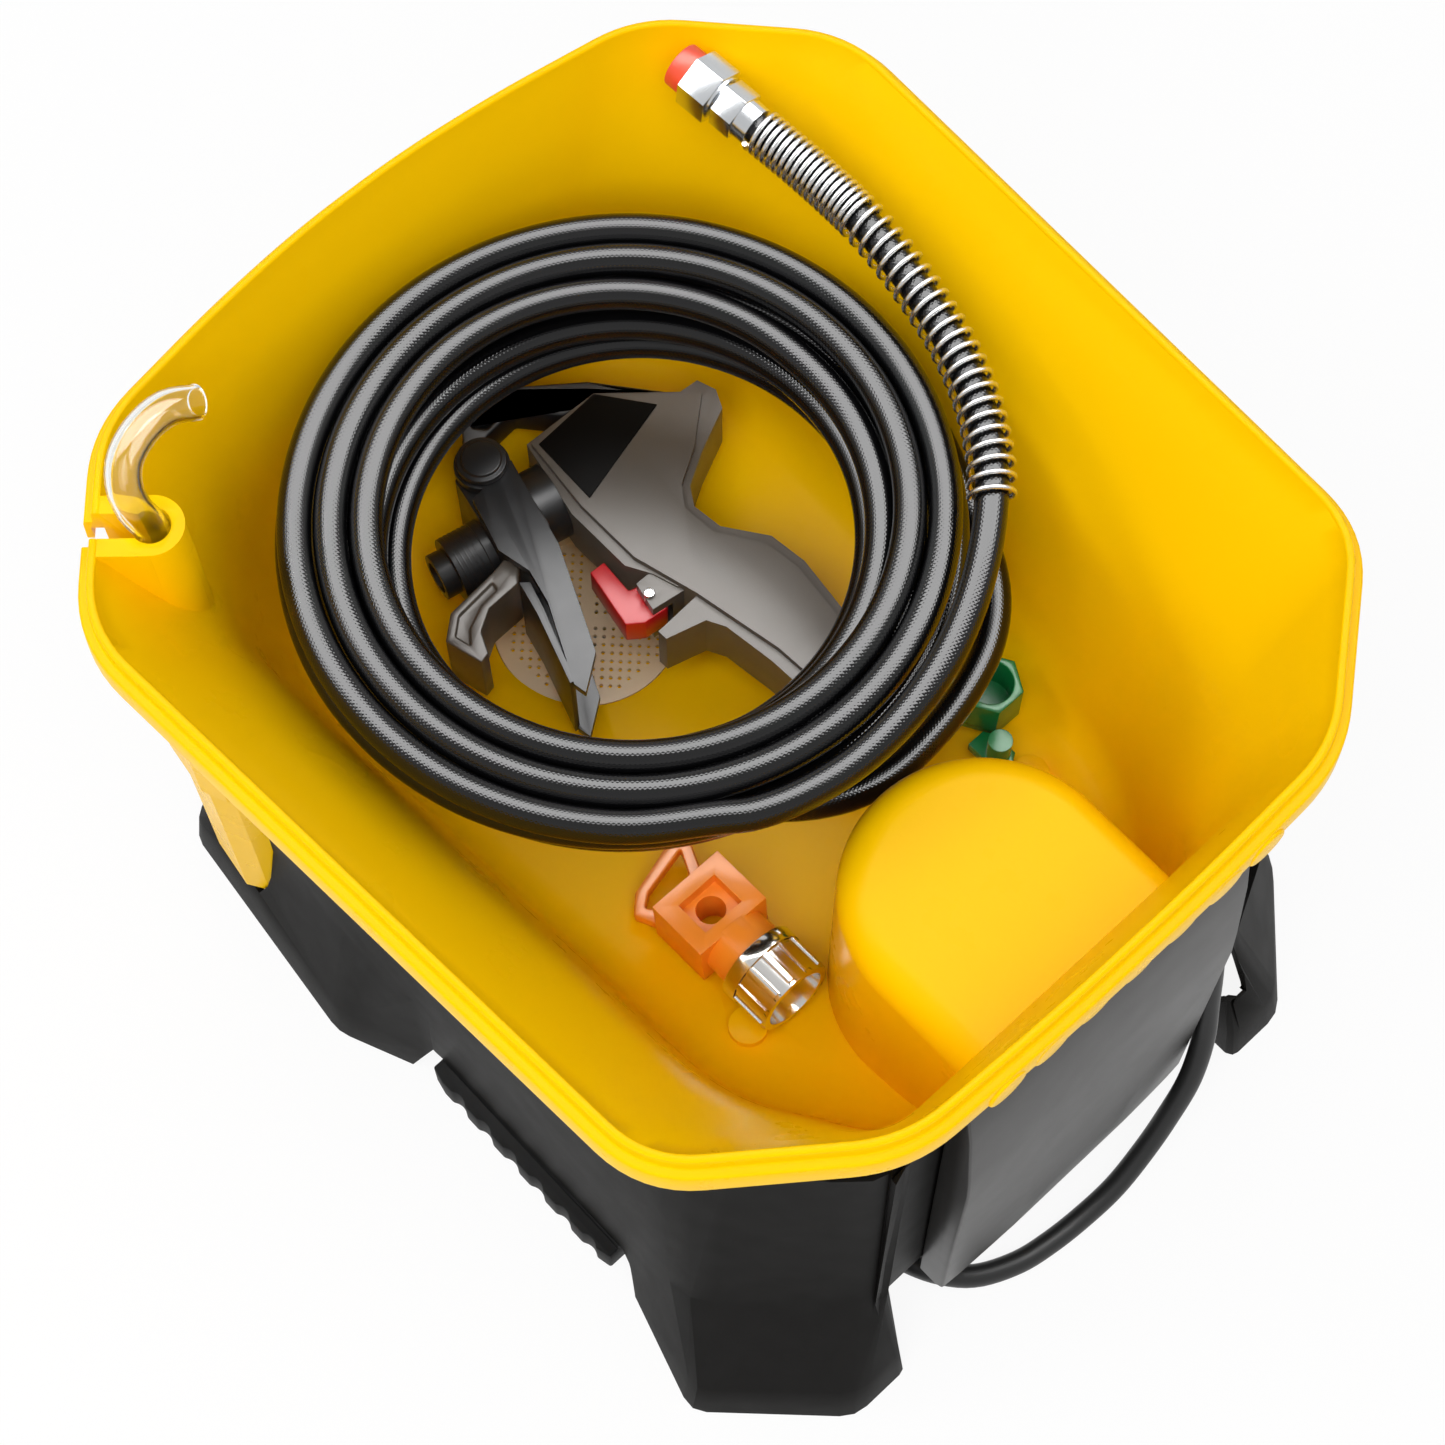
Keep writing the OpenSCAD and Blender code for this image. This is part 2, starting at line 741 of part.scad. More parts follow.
// Fluted knob on a stem along X
module knob(y, z, r, depth, stem_r) {
    difference() {
        union() {
            bar_x(-171 - depth, -171, y, z, r);
            bar_x(-171, -140, y, z, stem_r);
        }
        for (a = [0:30:330])
            translate([-171 - depth, y, z])
                rotate([a, 0, 0])
                    translate([-1, 0, r + 1])
                        rotate([0, 90, 0])
                            cylinder(h = depth - 2, r = 2);
    }
}

module pressure_knob() {
    color([0.12, 0.12, 0.12]) {
        knob(0, 78, 16, 16, 5);
        translate([-188, -1, 82])
            cube([2, 2, 9]);
    }
}

module control_valves() {
    color("silver")
        difference() {
            union() {
                translate([-156, -9, plate_z + 3])
                    cube([14, 24, 48]);
                translate([-156, 36, plate_z + 3])
                    cube([18, 26, 47.9]);
            }
            bar_x(-160, -130, 0, 78, 5.06);
            bar_x(-160, -130, 48, 78, 4.06);
        }
}

module prime_knob() {
    color("gold") {
        knob(48, 78, 11, 12, 4);
        translate([-190, 46, 80])
            cube([7, 4, 18]);
    }
}

module push_prime_button() {
    color("firebrick")
        union() {
            bar_x(-180, -161, -26, 78, 5.9);
            bar_x(-161.5, -150, -26, 78, 3);
        }
}

module switch_frame() {
    color([0.1, 0.1, 0.1])
        difference() {
            union() {
                translate([-168, 74, 67])
                    cube([15, 18, 24]);
                translate([-157, 72, 65])
                    cube([4, 22, 28]);
            }
            translate([-170, 76.6, 67.6])
                cube([16, 12.8, 22.8]);
            translate([-164, 100, 79])
                rotate([90, 0, 0])
                    cylinder(h = 40, r = 1.56);
        }
}

module power_switch() {
    color([0.1, 0.1, 0.1])
        translate([-164, 83, 79])
            rotate([90, 0, 0]) {
                translate([0, 0, -6])
                    linear_extrude(12)
                        polygon([[-5, -10], [-3.4, 0], [-5, 10], [3, 9], [3, -9]]);
                translate([0, 0, -8.4])
                    cylinder(h = 16.8, r = 1.5);
            }
}

module cord_strain_relief() {
    color([0.08, 0.08, 0.08])
        difference() {
            union() {
                translate([122, 90, 104])
                    rotate([0, 90, 0])
                        cylinder(h = 8, r = 6);
                translate([130, 90, 104])
                    rotate([0, 90, 0])
                        cylinder(h = 20, r1 = 8, r2 = 5.6);
                translate([123, 90, 104])
                    rotate([0, 90, 0])
                        cylinder(h = 4, r = 9);
            }
            for (i = [0:3])
                translate([133 + i * 4.4, 90, 104])
                    rotate([0, 90, 0])
                        difference() {
                            cylinder(h = 1.6, r = 12);
                            translate([0, 0, -1])
                                cylinder(h = 4, r = 5.4);
                        }
        }
}

module power_cord() {
    color([0.07, 0.07, 0.07])
        tube(cord_points, cord_d / 2, 8);
}

// Two flat spirals of cord on the floor, one above the other
cord_turns = 2.1;
function cord_spiral(t, layer) =
    let (s = layer == 0 ? t / cord_turns : 1 - t / cord_turns, r = 58 - 20 * s,
        a = layer == 0 ? 270 - 360 * t : 270 - 360 * (cord_turns + t))
    [66 + r * cos(a), -10 + r * sin(a), layer == 0 ? 4.6 : 14.6];
cord_steps = 50;
cord_wind = concat(
    [for (i = [0:cord_steps - 6]) cord_spiral(cord_turns * i / cord_steps, 0)],
    [for (i = [-5:5]) let (p = cord_spiral(i < 0 ? cord_turns * (1 + i / cord_steps)
        : cord_turns * i / cord_steps, i < 0 ? 0 : 1)) [p[0], p[1], 9.6 + i]],
    [for (i = [6:cord_steps]) cord_spiral(cord_turns * i / cord_steps, 1)]);

module cord_coil() {
    echo(cord_coil_least_gap = least_gap(cord_wind, cord_d / 2, 12));
    color([0.07, 0.07, 0.07])
        tube(cord_wind, cord_d / 2, 6);
}

module cord_tie() {
    color("dimgray")
        translate([66, 38, 9.6])
            difference() {
                translate([-4, -18, -9.3])
                    cube([8, 36, 21]);
                translate([-5, -16.4, -11])
                    cube([10, 32.8, 20.52]);
            }
}

cord_end = cord_wind[len(cord_wind) - 1];
// Points of the cord between the coil and the plug
lead_points = [cord_end, [7.6, -17, 14.6], [5.6, -6, 14.2], [5, 6, 13.5], [5.8, 18, 12.7],
    [7.6, 30, 12.1], [9.4, 41, 12], [10, 50, 12]];

module cord_lead() {
    color([0.07, 0.07, 0.07])
        tube(lead_points, cord_d / 2, 8);
}

module plug_body() {
    color([0.07, 0.07, 0.07])
        translate([10, 50, 2])
            slab([[-6, 0], [6, 0], [8, 14], [13, 26], [13, 42], [-13, 42], [-13, 26],
                [-8, 14]], 0, 20);
}

module plug_blades() {
    color("silver")
        translate([10, 92, 12])
            rotate([0, 0, 90])
                union() {
                    for (y = [-6.35, 6.35])
                        translate([0, y - 0.75, -3.2])
                            cube([17.2, 1.5, 6.4]);
                    bar_x(0, 20, 0, 7.2, 2.4);
                }
}

// The hose coil: spirals in and out through four layers
coil_steps = 24;
layer_steps = 64;
layers = 4;
outer_r = [coil_r, coil_r, coil_r - 0.5, coil_r - 4.3];
inner_r = [coil_r - 32, coil_r - 32, coil_r - 36, coil_r - 36.8];
function coil_point(k) =
    let (q = k / layer_steps, layer = min(floor(q), layers - 1), f = q - layer,
        g = layer % 2 == 0 ? f : 1 - f,
        r = outer_r[layer] * (1 - g) + inner_r[layer] * g,
        near = q - round(q),
        climb = round(q) > 0 && round(q) < layers && abs(near) < 1 / 11,
        drop = climb ? round(q) - 0.5 + near * 5.5 : layer,
        a = -28 - 360 * k / coil_steps)
    [coil_x + r * cos(a), coil_y + r * sin(a), coil_top_z - layer_pitch * drop];
coil_path = [for (k = [0:layers * layer_steps]) coil_point(k)];
// Least clear distance between runs of a tube that lie a given number of points apart
function least_gap(p, r, apart) = min([for (i = [0:len(p) - 1 - apart])
    for (j = [i + apart:len(p) - 1]) norm(p[i] - p[j])]) - 2 * r;

module spray_hose_coil() {
    echo(hose_coil_least_gap = least_gap(coil_path, hose_r, 12));
    color([0.1, 0.1, 0.1])
        tube(coil_path, hose_r, 6);
}

module hose_lower_loop() {
    color([0.1, 0.1, 0.1])
        tube(lower_points, hose_r, 10);
}

module spray_hose_tail() {
    color([0.1, 0.1, 0.1])
        tube(tail_points, hose_r, 10);
}

// Place along the tail, counted in points from the coil
function along(s) =
    let (i = min(floor(s), len(tail_points) - 2), f = s - i)
    tail_points[i] * (1 - f) + tail_points[i + 1] * f;
function along_smooth(s) = (along(s - 0.3) + along(s) + along(s + 0.3)) / 3;
guard_r = 7.6;
guard_turns = 40;
// Turns are close at the fitting and open towards the coil
function guard_place(t) = t < 18 ? t * 2.6 : 46.8 + (t - 18) * 5.3;
function guard_s(t) = len(tail_points) - 1.05 - guard_place(t) / 26.2;
function guard_dir(t) = unit(along_smooth(guard_s(t) + 0.2) - along_smooth(guard_s(t) - 0.2));
function guard_point(t) =
    let (c = along_smooth(guard_s(t)), d = guard_dir(t), s = unit(cross(d, [0, 0, 1])),
        u = cross(d, s), a = 360 * t)
    c + (s * cos(a) + u * sin(a)) * guard_r;
guard_path = [for (k = [0:guard_turns * 8]) guard_point(k / 8)];
guard_refs = [for (k = [0:guard_turns * 8]) guard_dir(k / 8)];

module spring_guard() {
    echo(spring_guard_least_gap = least_gap(guard_path, guard_wire / 2, 5));
    color("silver")
        tube(guard_path, guard_wire / 2, 6, guard_refs);
}

// Frame of the fittings at the free end of the hose
module at_hose_end() {
    translate([-117.5, 121.1, 270])
        rotate([0, -5.5, 184.8])
            children();
}

module hose_end_fitting() {
    color("silver")
        at_hose_end()
            union() {
                bar_x(0, 6, 0, 0, 7.4);
                hex_x(6, 15, 0, 0, 16);
                bar_x(15, 19.4, 0, 0, 6);
                bar_x(19.4, 21, 0, 0, 6.9);
            }
}

module hose_end_nut() {
    color("silver")
        at_hose_end()
            difference() {
                union() {
                    hex_x(17, 29, 0, 0, 19);
                    bar_x(16, 17, 0, 0, 8.6);
                }
                bar_x(10, 40, 0, 0, 6.06);
                bar_x(19.3, 40, 0, 0, 7.2);
            }
}

module hose_end_cap() {
    color("orangered")
        at_hose_end()
            union() {
                bar_x(24, 29.3, 0, 0, 6.9);
                bar_x(29.2, 36, 0, 0, 8.4);
            }
}

module hose_start_fitting() {
    color("silver")
        translate([43.2, -29.4, 193.4])
            rotate([0, 0, -134.3])
                union() {
                    bar_x(0, 9, 0, 0, 7);
                    hex_x(9, 17, 0, 0, 15);
                    bar_x(17, 21, 0, 0, 5);
                    bar_x(21, 22.4, 0, 0, 6);
                }
}

module hose_start_nut() {
    color("silver")
        translate([43.2, -29.4, 193.4])
            rotate([0, 0, -134.3])
                difference() {
                    hex_x(18, 31, 0, 0, 18);
                    bar_x(10, 40, 0, 0, 5.06);
                    bar_x(20.9, 40, 0, 0, 6.3);
                }
}

// Frame of the stowed gun: X rearward, Y towards the hook, Z across the gun
module at_gun() {
    translate([gun_x, gun_y, gun_z])
        rotate([0, 0, gun_turn])
            children();
}

gun_outline = [[18, 4], [50, 10], [78, -6], [86, -5], [90, -12], [88, -20], [72, -32],
    [61, -42], [58, -50], [62, -62], [76, -75], [81, -90], [83, -118], [86, -146],
    [58, -150], [50, -118], [43, -98], [38, -92], [22, -91], [21, -87], [47, -80],
    [36, -75], [31, -66], [24, -58], [18, -30]];

module gun_body() {
    color([0.27, 0.27, 0.27])
        at_gun()
            difference() {
                union() {
                    slab(gun_outline, -13, 13);
                    slab([[19, 2], [50, 7], [77, -8], [84, -12], [70, -30], [58, -41],
                        [54, -50], [58, -64], [72, -78], [77, -92], [79, -118], [81, -144],
                        [62, -146], [54, -116], [40, -82], [28, -58], [22, -30]], -16, 16);
                    slab([[58, -146], [86, -143], [87, -150], [58, -153]], -12, 12);
                    slab([[24, -66], [34, -64], [40, -77], [24, -78]], -12, 12);
                }
                translate([26, -72, -7])
                    cylinder(h = 14, r = 8.6);
                translate([-10, -62, -7])
                    cube([31, 10, 14]);
                translate([26, -72, -30])
                    cylinder(h = 60, r = 2.02);
            }
}

module gun_head() {
    color([0.1, 0.1, 0.1])
        at_gun()
            difference() {
                union() {
                    slab([[-13, -34], [-9, -38], [6, -38], [8, -30], [8, 2], [3, 8], [-8, 8],
                        [-13, 2]], -head_half, head_half);
                    bar_x(7, 18, -15, 0, 14.8);
                    bar_x(-29, -12, -21, 0, nose_r);
                    bar_x(-35, -28, -21, 0, 9);
                    bar_x(-16.5, -12, -21, 0, 12.9);
                }
                bar_x(-40, -6, -21, 0, 4);
                bar_x(-40, -31, -21, 0, 6.2);
                translate([-2, 1, -30])
                    cylinder(h = 60, r = 4);
            }
}

module gun_label_panel() {
    color([0.05, 0.05, 0.05])
        at_gun()
            slab([[21, 0], [49, 8], [67, -8], [26, -29]], 16, 16.8);
}

module gun_hook() {
    color([0.1, 0.1, 0.1])
        at_gun()
            difference() {
                slab([[80, -4], [52, 19], [25, 32.4], [2, 26], [-5, 12], [3, 10.5], [8, 17.5],
                    [22, 22], [37, 10.5], [50, 10.2], [78, -5.8]], -7, 7);
                slab([[70, 2], [50, 15.5], [25, 30], [5, 24], [10, 20.6], [23, 25.4],
                    [40, 13], [52, 12]], 4, 8);
            }
}

module trigger() {
    color([0.12, 0.12, 0.12])
        at_gun()
            difference() {
                union() {
                    for (z = [-21.6, 17.8])
                        union() {
                            slab([[-12, -10], [-14, -33], [-8.5, -46], [-9, -60],
                                [-17, -93], [-15, -98], [-4, -86], [2, -60], [6, -42],
                                [8, -3]], z, z + 3.8);
                            translate([-2, 1, z])
                                cylinder(h = 3.8, r = 10.4);
                        }
                    slab([[-14, -48], [-10.5, -50], [-11.5, -62], [-16, -92], [-18, -92],
                        [-14.5, -62]], -21.6, 21.6);
                }
                translate([-2, 1, -40])
                    cylinder(h = 80, r = 4.06);
            }
}

module trigger_pivot() {
    color([0.08, 0.08, 0.08])
        at_gun()
            union() {
                translate([-2, 1, -21.8])
                    cylinder(h = 44.5, r = 4);
                translate([-2, 1, 22])
                    cylinder(h = 3, r = 9.4);
                translate([-2, 1, 24.9])
                    cylinder(h = 1.2, r = 7.4);
            }
}

module trigger_guard() {
    color([0.16, 0.16, 0.16])
        at_gun()
            difference() {
                slab([[-13, -34], [-19, -36.5], [-40, -43], [-47, -52], [-40, -66],
                    [-36, -64], [-34, -55], [-27, -48.5], [-13, -45], [-9, -38.2]],
                    -15, 15);
                slab([[-21, -40], [-38, -45.5], [-43, -52], [-40, -58], [-37, -52],
                    [-29, -46], [-21, -43.5]], 13.6, 16);
            }
}

module trigger_lock() {
    color("crimson")
        at_gun()
            difference() {
                slab([[13, -51], [19.5, -50], [21.5, -64.6], [27, -65], [32, -68],
                    [33, -73], [30, -78], [20, -79], [13.5, -76]], -6.8, 6.8);
                translate([26, -72, -10])
                    cylinder(h = 20, r = 2.06);
            }
}

module lock_pin() {
    color("crimson")
        at_gun()
            translate([26, -72, -13])
                cylinder(h = 26.5, r = 2);
}

module gun_inlet() {
    color("silver")
        at_gun()
            translate([72, -153.4, 0])
                rotate([90, 0, -4])
                    union() {
                        cylinder(h = 6, r = 10.4, $fn = 6);
                        translate([0, 0, 5.8])
                            cylinder(h = 13, r = 7.9);
                    }
}

// Frame of the stowed cleaning adapter, its axis along X
module at_adapter() {
    translate([adapter_x, adapter_y, adapter_z])
        rotate([0, -adapter_tilt, 0])
            children();
}

module adapter_body() {
    color("darkorange")
        at_adapter()
            difference() {
                union() {
                    translate([-15, -15.5, -12])
                        cube([25, 31, 24]);
                    bar_x(9, 20, 0, 0, 13);
                    bar_x(19, 24, 0, 0, 9);
                    bar_x(24, 26, 0, 0, 10);
                }
                translate([-9, -8.5, 6])
                    cube([14, 17, 10]);
                translate([-2, 0, -20])
                    cylinder(h = 50, r = 5.4);
                bar_x(10, 40, 0, 0, 5);
            }
}

module adapter_ring() {
    color("orange")
        at_adapter()
            difference() {
                slab([[-15, -14], [-15, 6], [-22, 12], [-33, 17], [-37, 12], [-30, -12],
                    [-24, -18]], -12, -7);
                slab([[-18.5, -9], [-18.5, 3], [-24, 8], [-31.5, 11.5], [-27, -8],
                    [-23.5, -13]], -13, -6);
            }
}

module adapter_nut() {
    color("silver")
        at_adapter()
            difference() {
                union() {
                    bar_x(20.4, 41, 0, 0, 14.6);
                    bar_x(20.4, 26, 0, 0, 15.8);
                    for (a = [0:30:330])
                        rotate([a, 0, 0])
                            translate([25, -1.4, 13.1])
                                cube([14.6, 2.8, 2.4]);
                }
                bar_x(10, 60, 0, 0, 9.06);
                bar_x(23.8, 60, 0, 0, 12);
            }
}

module tip_holder() {
    color("seagreen")
        translate([53.8, 77.3, 0])
            rotate([0, 0, 30])
            difference() {
                translate([0, 0, 130.6])
                    cylinder(h = 20, r = 12.5, $fn = 6);
                translate([0, 0, 134])
                    cylinder(h = 30, r = 8.5);
            }
}

module tip_strip() {
    color("seagreen")
        slab([[37.5, 80], [41, 81], [42, 72.5], [46.2, 62], [51, 50], [53, 34], [49, 33],
            [46.5, 49], [42, 63]], 126.8, 132);
}

module spray_tip() {
    color("seagreen")
        union() {
            slab([[61, 61], [74, 61], [78, 66], [75, 71], [65.3, 71], [61, 68.4]], 127.6, 132.6);
            translate([71, 66, 130])
                cylinder(h = 15, r = 4.5);
        }
}

hopper();
strainer();
return_tube();
base_shell();
rear_panel();
side_grips();
bottom_plate();
rubber_feet();
housing_screws();
motor_can();
motor_rotor();
gearbox();
drive_gear();
piston_yoke();
pump_body();
packing_nut();
inlet_valve();
outlet_pipe();
outlet_fitting();
pressure_knob();
control_valves();
prime_knob();
push_prime_button();
switch_frame();
power_switch();
cord_strain_relief();
power_cord();
cord_coil();
cord_tie();
cord_lead();
plug_body();
plug_blades();
spray_hose_coil();
hose_lower_loop();
spray_hose_tail();
spring_guard();
hose_end_fitting();
hose_end_nut();
hose_end_cap();
hose_start_fitting();
hose_start_nut();
gun_body();
gun_head();
gun_label_panel();
gun_hook();
trigger();
trigger_pivot();
trigger_guard();
trigger_lock();
lock_pin();
gun_inlet();
adapter_body();
adapter_ring();
adapter_nut();
tip_holder();
tip_strip();
spray_tip();
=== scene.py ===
# %% [markdown]
# # An airless paint sprayer, stowed
#
# The object is an open yellow paint hopper on a black moulded base. Its spray hose is coiled in the
# hopper with the spray gun, a cleaning adapter and a spare tip below it. The solids of the
# construction are loaded first as a fixed frame, and every piece that is made here sits on them.

# %% Load the fixed frame
import json
import math
import bmesh
import bpy
from mathutils import Matrix, Vector


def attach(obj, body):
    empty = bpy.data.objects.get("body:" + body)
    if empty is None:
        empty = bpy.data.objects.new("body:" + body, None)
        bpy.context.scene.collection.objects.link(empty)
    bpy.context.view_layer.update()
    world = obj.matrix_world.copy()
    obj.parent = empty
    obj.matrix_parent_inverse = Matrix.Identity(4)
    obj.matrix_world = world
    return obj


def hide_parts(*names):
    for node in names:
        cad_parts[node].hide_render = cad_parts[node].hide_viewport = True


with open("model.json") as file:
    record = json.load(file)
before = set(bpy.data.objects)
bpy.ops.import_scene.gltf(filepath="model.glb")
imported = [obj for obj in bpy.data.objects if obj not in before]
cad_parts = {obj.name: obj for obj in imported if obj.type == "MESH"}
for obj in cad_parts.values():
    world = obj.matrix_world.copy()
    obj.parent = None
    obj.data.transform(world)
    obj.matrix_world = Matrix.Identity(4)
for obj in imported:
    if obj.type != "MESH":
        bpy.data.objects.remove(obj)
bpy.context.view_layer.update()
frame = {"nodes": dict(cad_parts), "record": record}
nodes = frame["nodes"]
body_of_node = {n: b for b, names in frame["record"]["behaviour"]["bodies"].items() for n in names}
MM = 0.001

# %% [markdown]
# ## The camera
#
# The sprayer is seen from above, over its rear right corner. A camera can be aimed by typing angles,
# but aiming it at a point keeps the numbers readable: where the eye is, and what it looks at.

# %% Camera
eye = Vector((0.3131, -0.2952, 1.1345))
aim = Vector((0.0403, -0.0417, 0.278))
camera = bpy.data.objects.new("camera", bpy.data.cameras.new("camera"))
bpy.context.scene.collection.objects.link(camera)
camera.location = eye
camera.rotation_mode = "QUATERNION"
camera.rotation_quaternion = (aim - eye).to_track_quat("-Z", "Y")
camera.data.lens = 74.74
camera.data.sensor_width = 36
camera.data.clip_start, camera.data.clip_end = 0.01, 20
bpy.context.scene.camera = camera
print("camera is", round((eye - aim).length, 3), "m from its aim")

# %% [markdown]
# ## A tube that follows a route
#
# Hoses, cords and spring wire are all one thing: a ring carried along a line. A curve with a bevel
# could do it, but a mesh gives control of the ring count and a UV map in real metres, along the
# run and round it, so that a braid or a rib pattern keeps its size in every bend. The ring is turned
# from one step to the next by the smallest turn, so it never twists.

# %% Routes and swept tubes
def smooth_route(points, step):
    """Points every step metres on a smooth line through the given points."""
    p = [Vector(q) for q in points]
    p = [2 * p[0] - p[1]] + p + [2 * p[-1] - p[-2]]
    dense = []
    for i in range(1, len(p) - 2):
        a, b, c, d = p[i - 1:i + 3]
        for k in range(8):
            t = k / 8
            dense.append(0.5 * (2 * b + (c - a) * t + (2 * a - 5 * b + 4 * c - d) * t * t
                                + (3 * b - a - 3 * c + d) * t ** 3))
    dense.append(p[-2].copy())
    even, want, done = [dense[0].copy()], step, 0.0
    for a, b in zip(dense, dense[1:]):
        length = (b - a).length
        while want <= done + length:
            even.append(a.lerp(b, (want - done) / length))
            want += step
        done += length
    if (even[-1] - dense[-1]).length < step * 0.5:
        even.pop()
    return even + [dense[-1].copy()]


def route_length(points):
    return sum((b - a).length for a, b in zip(points, points[1:]))


def new_piece(name, verts, faces, sharp=35):
    mesh = bpy.data.meshes.new(name)
    mesh.from_pydata([tuple(v) for v in verts], [], faces)
    mesh.validate()
    mesh.shade_smooth()
    mesh.set_sharp_from_angle(angle=math.radians(sharp))
    piece = bpy.data.objects.new(name, mesh)
    bpy.context.scene.collection.objects.link(piece)
    return piece


def swept_tube(name, points, radius, sides, swell=None):
    """A closed tube along points. swell(i) scales the ring at point i."""
    n, verts = len(points), []
    heading = [(points[min(i + 1, n - 1)] - points[max(i - 1, 0)]).normalized() for i in range(n)]
    side = heading[0].orthogonal().normalized()
    along = [0.0]
    for i in range(n):
        if i:
            side = (side - heading[i] * side.dot(heading[i])).normalized()
            along.append(along[-1] + (points[i] - points[i - 1]).length)
        up = heading[i].cross(side)
        r = radius * (swell(i) if swell else 1)
        verts += [points[i] + (side * math.cos(2 * math.pi * k / sides)
                               + up * math.sin(2 * math.pi * k / sides)) * r for k in range(sides)]
    faces = [(i * sides + k, i * sides + (k + 1) % sides, (i + 1) * sides + (k + 1) % sides,
              (i + 1) * sides + k) for i in range(n - 1) for k in range(sides)]
    faces += [tuple(range(sides - 1, -1, -1)), tuple((n - 1) * sides + k for k in range(sides))]
    piece = new_piece(name, verts, faces, 60)
    uv = piece.data.uv_layers.new(name="run")
    for poly in piece.data.polygons:
        ring = [piece.data.loops[li].vertex_index for li in poly.loop_indices]
        wraps = max(v % sides for v in ring) == sides - 1 and min(v % sides for v in ring) == 0
        for li, v in zip(poly.loop_indices, ring):
            k = v % sides
            k = sides if wraps and k == 0 else k
            uv.data[li].uv = (along[v // sides], 2 * math.pi * radius * k / sides)
    return piece


def keep_piece(piece, material, slot, body, *stands_for):
    """Gives a finished piece its material and its body, and hides the construction solids that it shows."""
    piece.data.materials.clear()
    piece.data.materials.append(material)
    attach(piece, body)
    if stands_for:
        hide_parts(*stands_for)
    return piece


machine = body_of_node["hopper"]
print("the fixed body is", machine)

# %% [markdown]
# ## The route of the spray hose
#
# The hose is one piece, 11.5 mm thick. It leaves its swivel nut low in the hopper, climbs in one loose
# loop, lies in four layers of turns that spiral in and out, and ends in a tail with a spring guard.
# The turns come from a rule and not from a list: a layer pitch, an outer and an inner radius for each
# layer, and an angle that runs on at a steady rate.

# %% Spray hose
HOSE_D = 0.0115
COIL_X, COIL_Y, COIL_TOP, LAYER_DROP, LAYERS = -48, -2, 247, 12, 4
STEPS, STEP_ANGLE, FIRST_ANGLE = 64, 15, -28
tail_points = [(53.5, -56, 247), (60.5, -46.2, 247), (66.5, -30, 247), (70, -9, 247.5),
               (69.3, 13, 249.4), (64.5, 35, 252), (56, 55, 255), (44, 73.5, 258), (29, 90, 260),
               (10, 103.5, 260.5), (-12, 113.5, 261), (-38, 120, 263), (-65, 123.5, 265.5),
               (-91.5, 123.3, 267.5), (-117.5, 121.1, 270)]
lower_points = [(-51.9, 108.6, 211), (-40, 111, 211), (-25, 112.1, 209.4), (-8, 108.5, 205),
                (10, 102.5, 198), (27, 96.5, 193), (42, 87, 189.5), (53, 73, 188), (60, 55, 188),
                (63.8, 36, 188), (65, 16, 188.6), (62.5, 0, 190.6), (56, -14, 192.6),
                (47.5, -25, 193.4), (43.2, -29.4, 193.4)]
outer_r, inner_r = (115, 115, 114.5, 110.7), (83, 83, 79, 78.2)


def coil_point(k):
    """One point of the coil, 24 to a turn and 64 to a layer, in millimetres."""
    q = k / STEPS
    layer = min(int(q), LAYERS - 1)
    f = q - layer
    g = f if layer % 2 == 0 else 1 - f
    r = outer_r[layer] * (1 - g) + inner_r[layer] * g
    near = q - math.floor(q + 0.5)
    turn = math.floor(q + 0.5)
    drop = turn - 0.5 + near * 5.5 if 0 < turn < LAYERS and abs(near) < 1 / 11 else layer
    a = math.radians(FIRST_ANGLE - STEP_ANGLE * k)
    return (COIL_X + r * math.cos(a), COIL_Y + r * math.sin(a), COIL_TOP - LAYER_DROP * drop)


coil_points = [coil_point(k) for k in range(LAYERS * STEPS - 1, 0, -1)]
hose_line = list(reversed(lower_points)) + coil_points + tail_points
hose_route = smooth_route([Vector(p) * MM for p in hose_line], 0.004)
hose = swept_tube("spray_hose", hose_route, HOSE_D / 2, 20)
print("hose:", round(route_length(hose_route), 3), "m in", len(hose_route), "rings")

# %% [markdown]
# ## The spring guard
#
# A spring of bright wire stiffens the end of the hose. Its turns lie side by side at the fitting and
# stand open towards the coil. The wire's centre line is a helix round the hose's own line.

# %% Spring guard
GUARD_R, GUARD_WIRE, GUARD_TURNS = 0.0076, 0.0019, 40
GUARD_START, CLOSE_TURNS, CLOSE_PITCH, OPEN_PITCH = 1.3, 18, 2.6, 5.3
TAIL_STEP = 0.001
tail_route = smooth_route([Vector(p) * MM for p in tail_points], TAIL_STEP)
tail_route.reverse()


def guard_place(t):
    """Distance of turn t from the fitting."""
    return (GUARD_START + min(t, CLOSE_TURNS) * CLOSE_PITCH + max(t - CLOSE_TURNS, 0) * OPEN_PITCH) * MM


def guard_line(per_turn=20):
    line = []
    for k in range(GUARD_TURNS * per_turn + 1):
        t = k / per_turn
        s = guard_place(t) / TAIL_STEP
        i = min(int(s), len(tail_route) - 8)
        centre = tail_route[i].lerp(tail_route[i + 1], s - i)
        run = (tail_route[i + 6] - tail_route[max(i - 6, 0)]).normalized()
        side = run.cross(Vector((0, 0, 1))).normalized()
        up = run.cross(side)
        a = 2 * math.pi * t
        line.append(centre + (side * math.cos(a) + up * math.sin(a)) * GUARD_R)
    return line


guard = swept_tube("spring_guard_wire", guard_line(), GUARD_WIRE / 2, 8)
print("spring guard:", GUARD_TURNS, "turns of", GUARD_WIRE / MM, "mm wire")

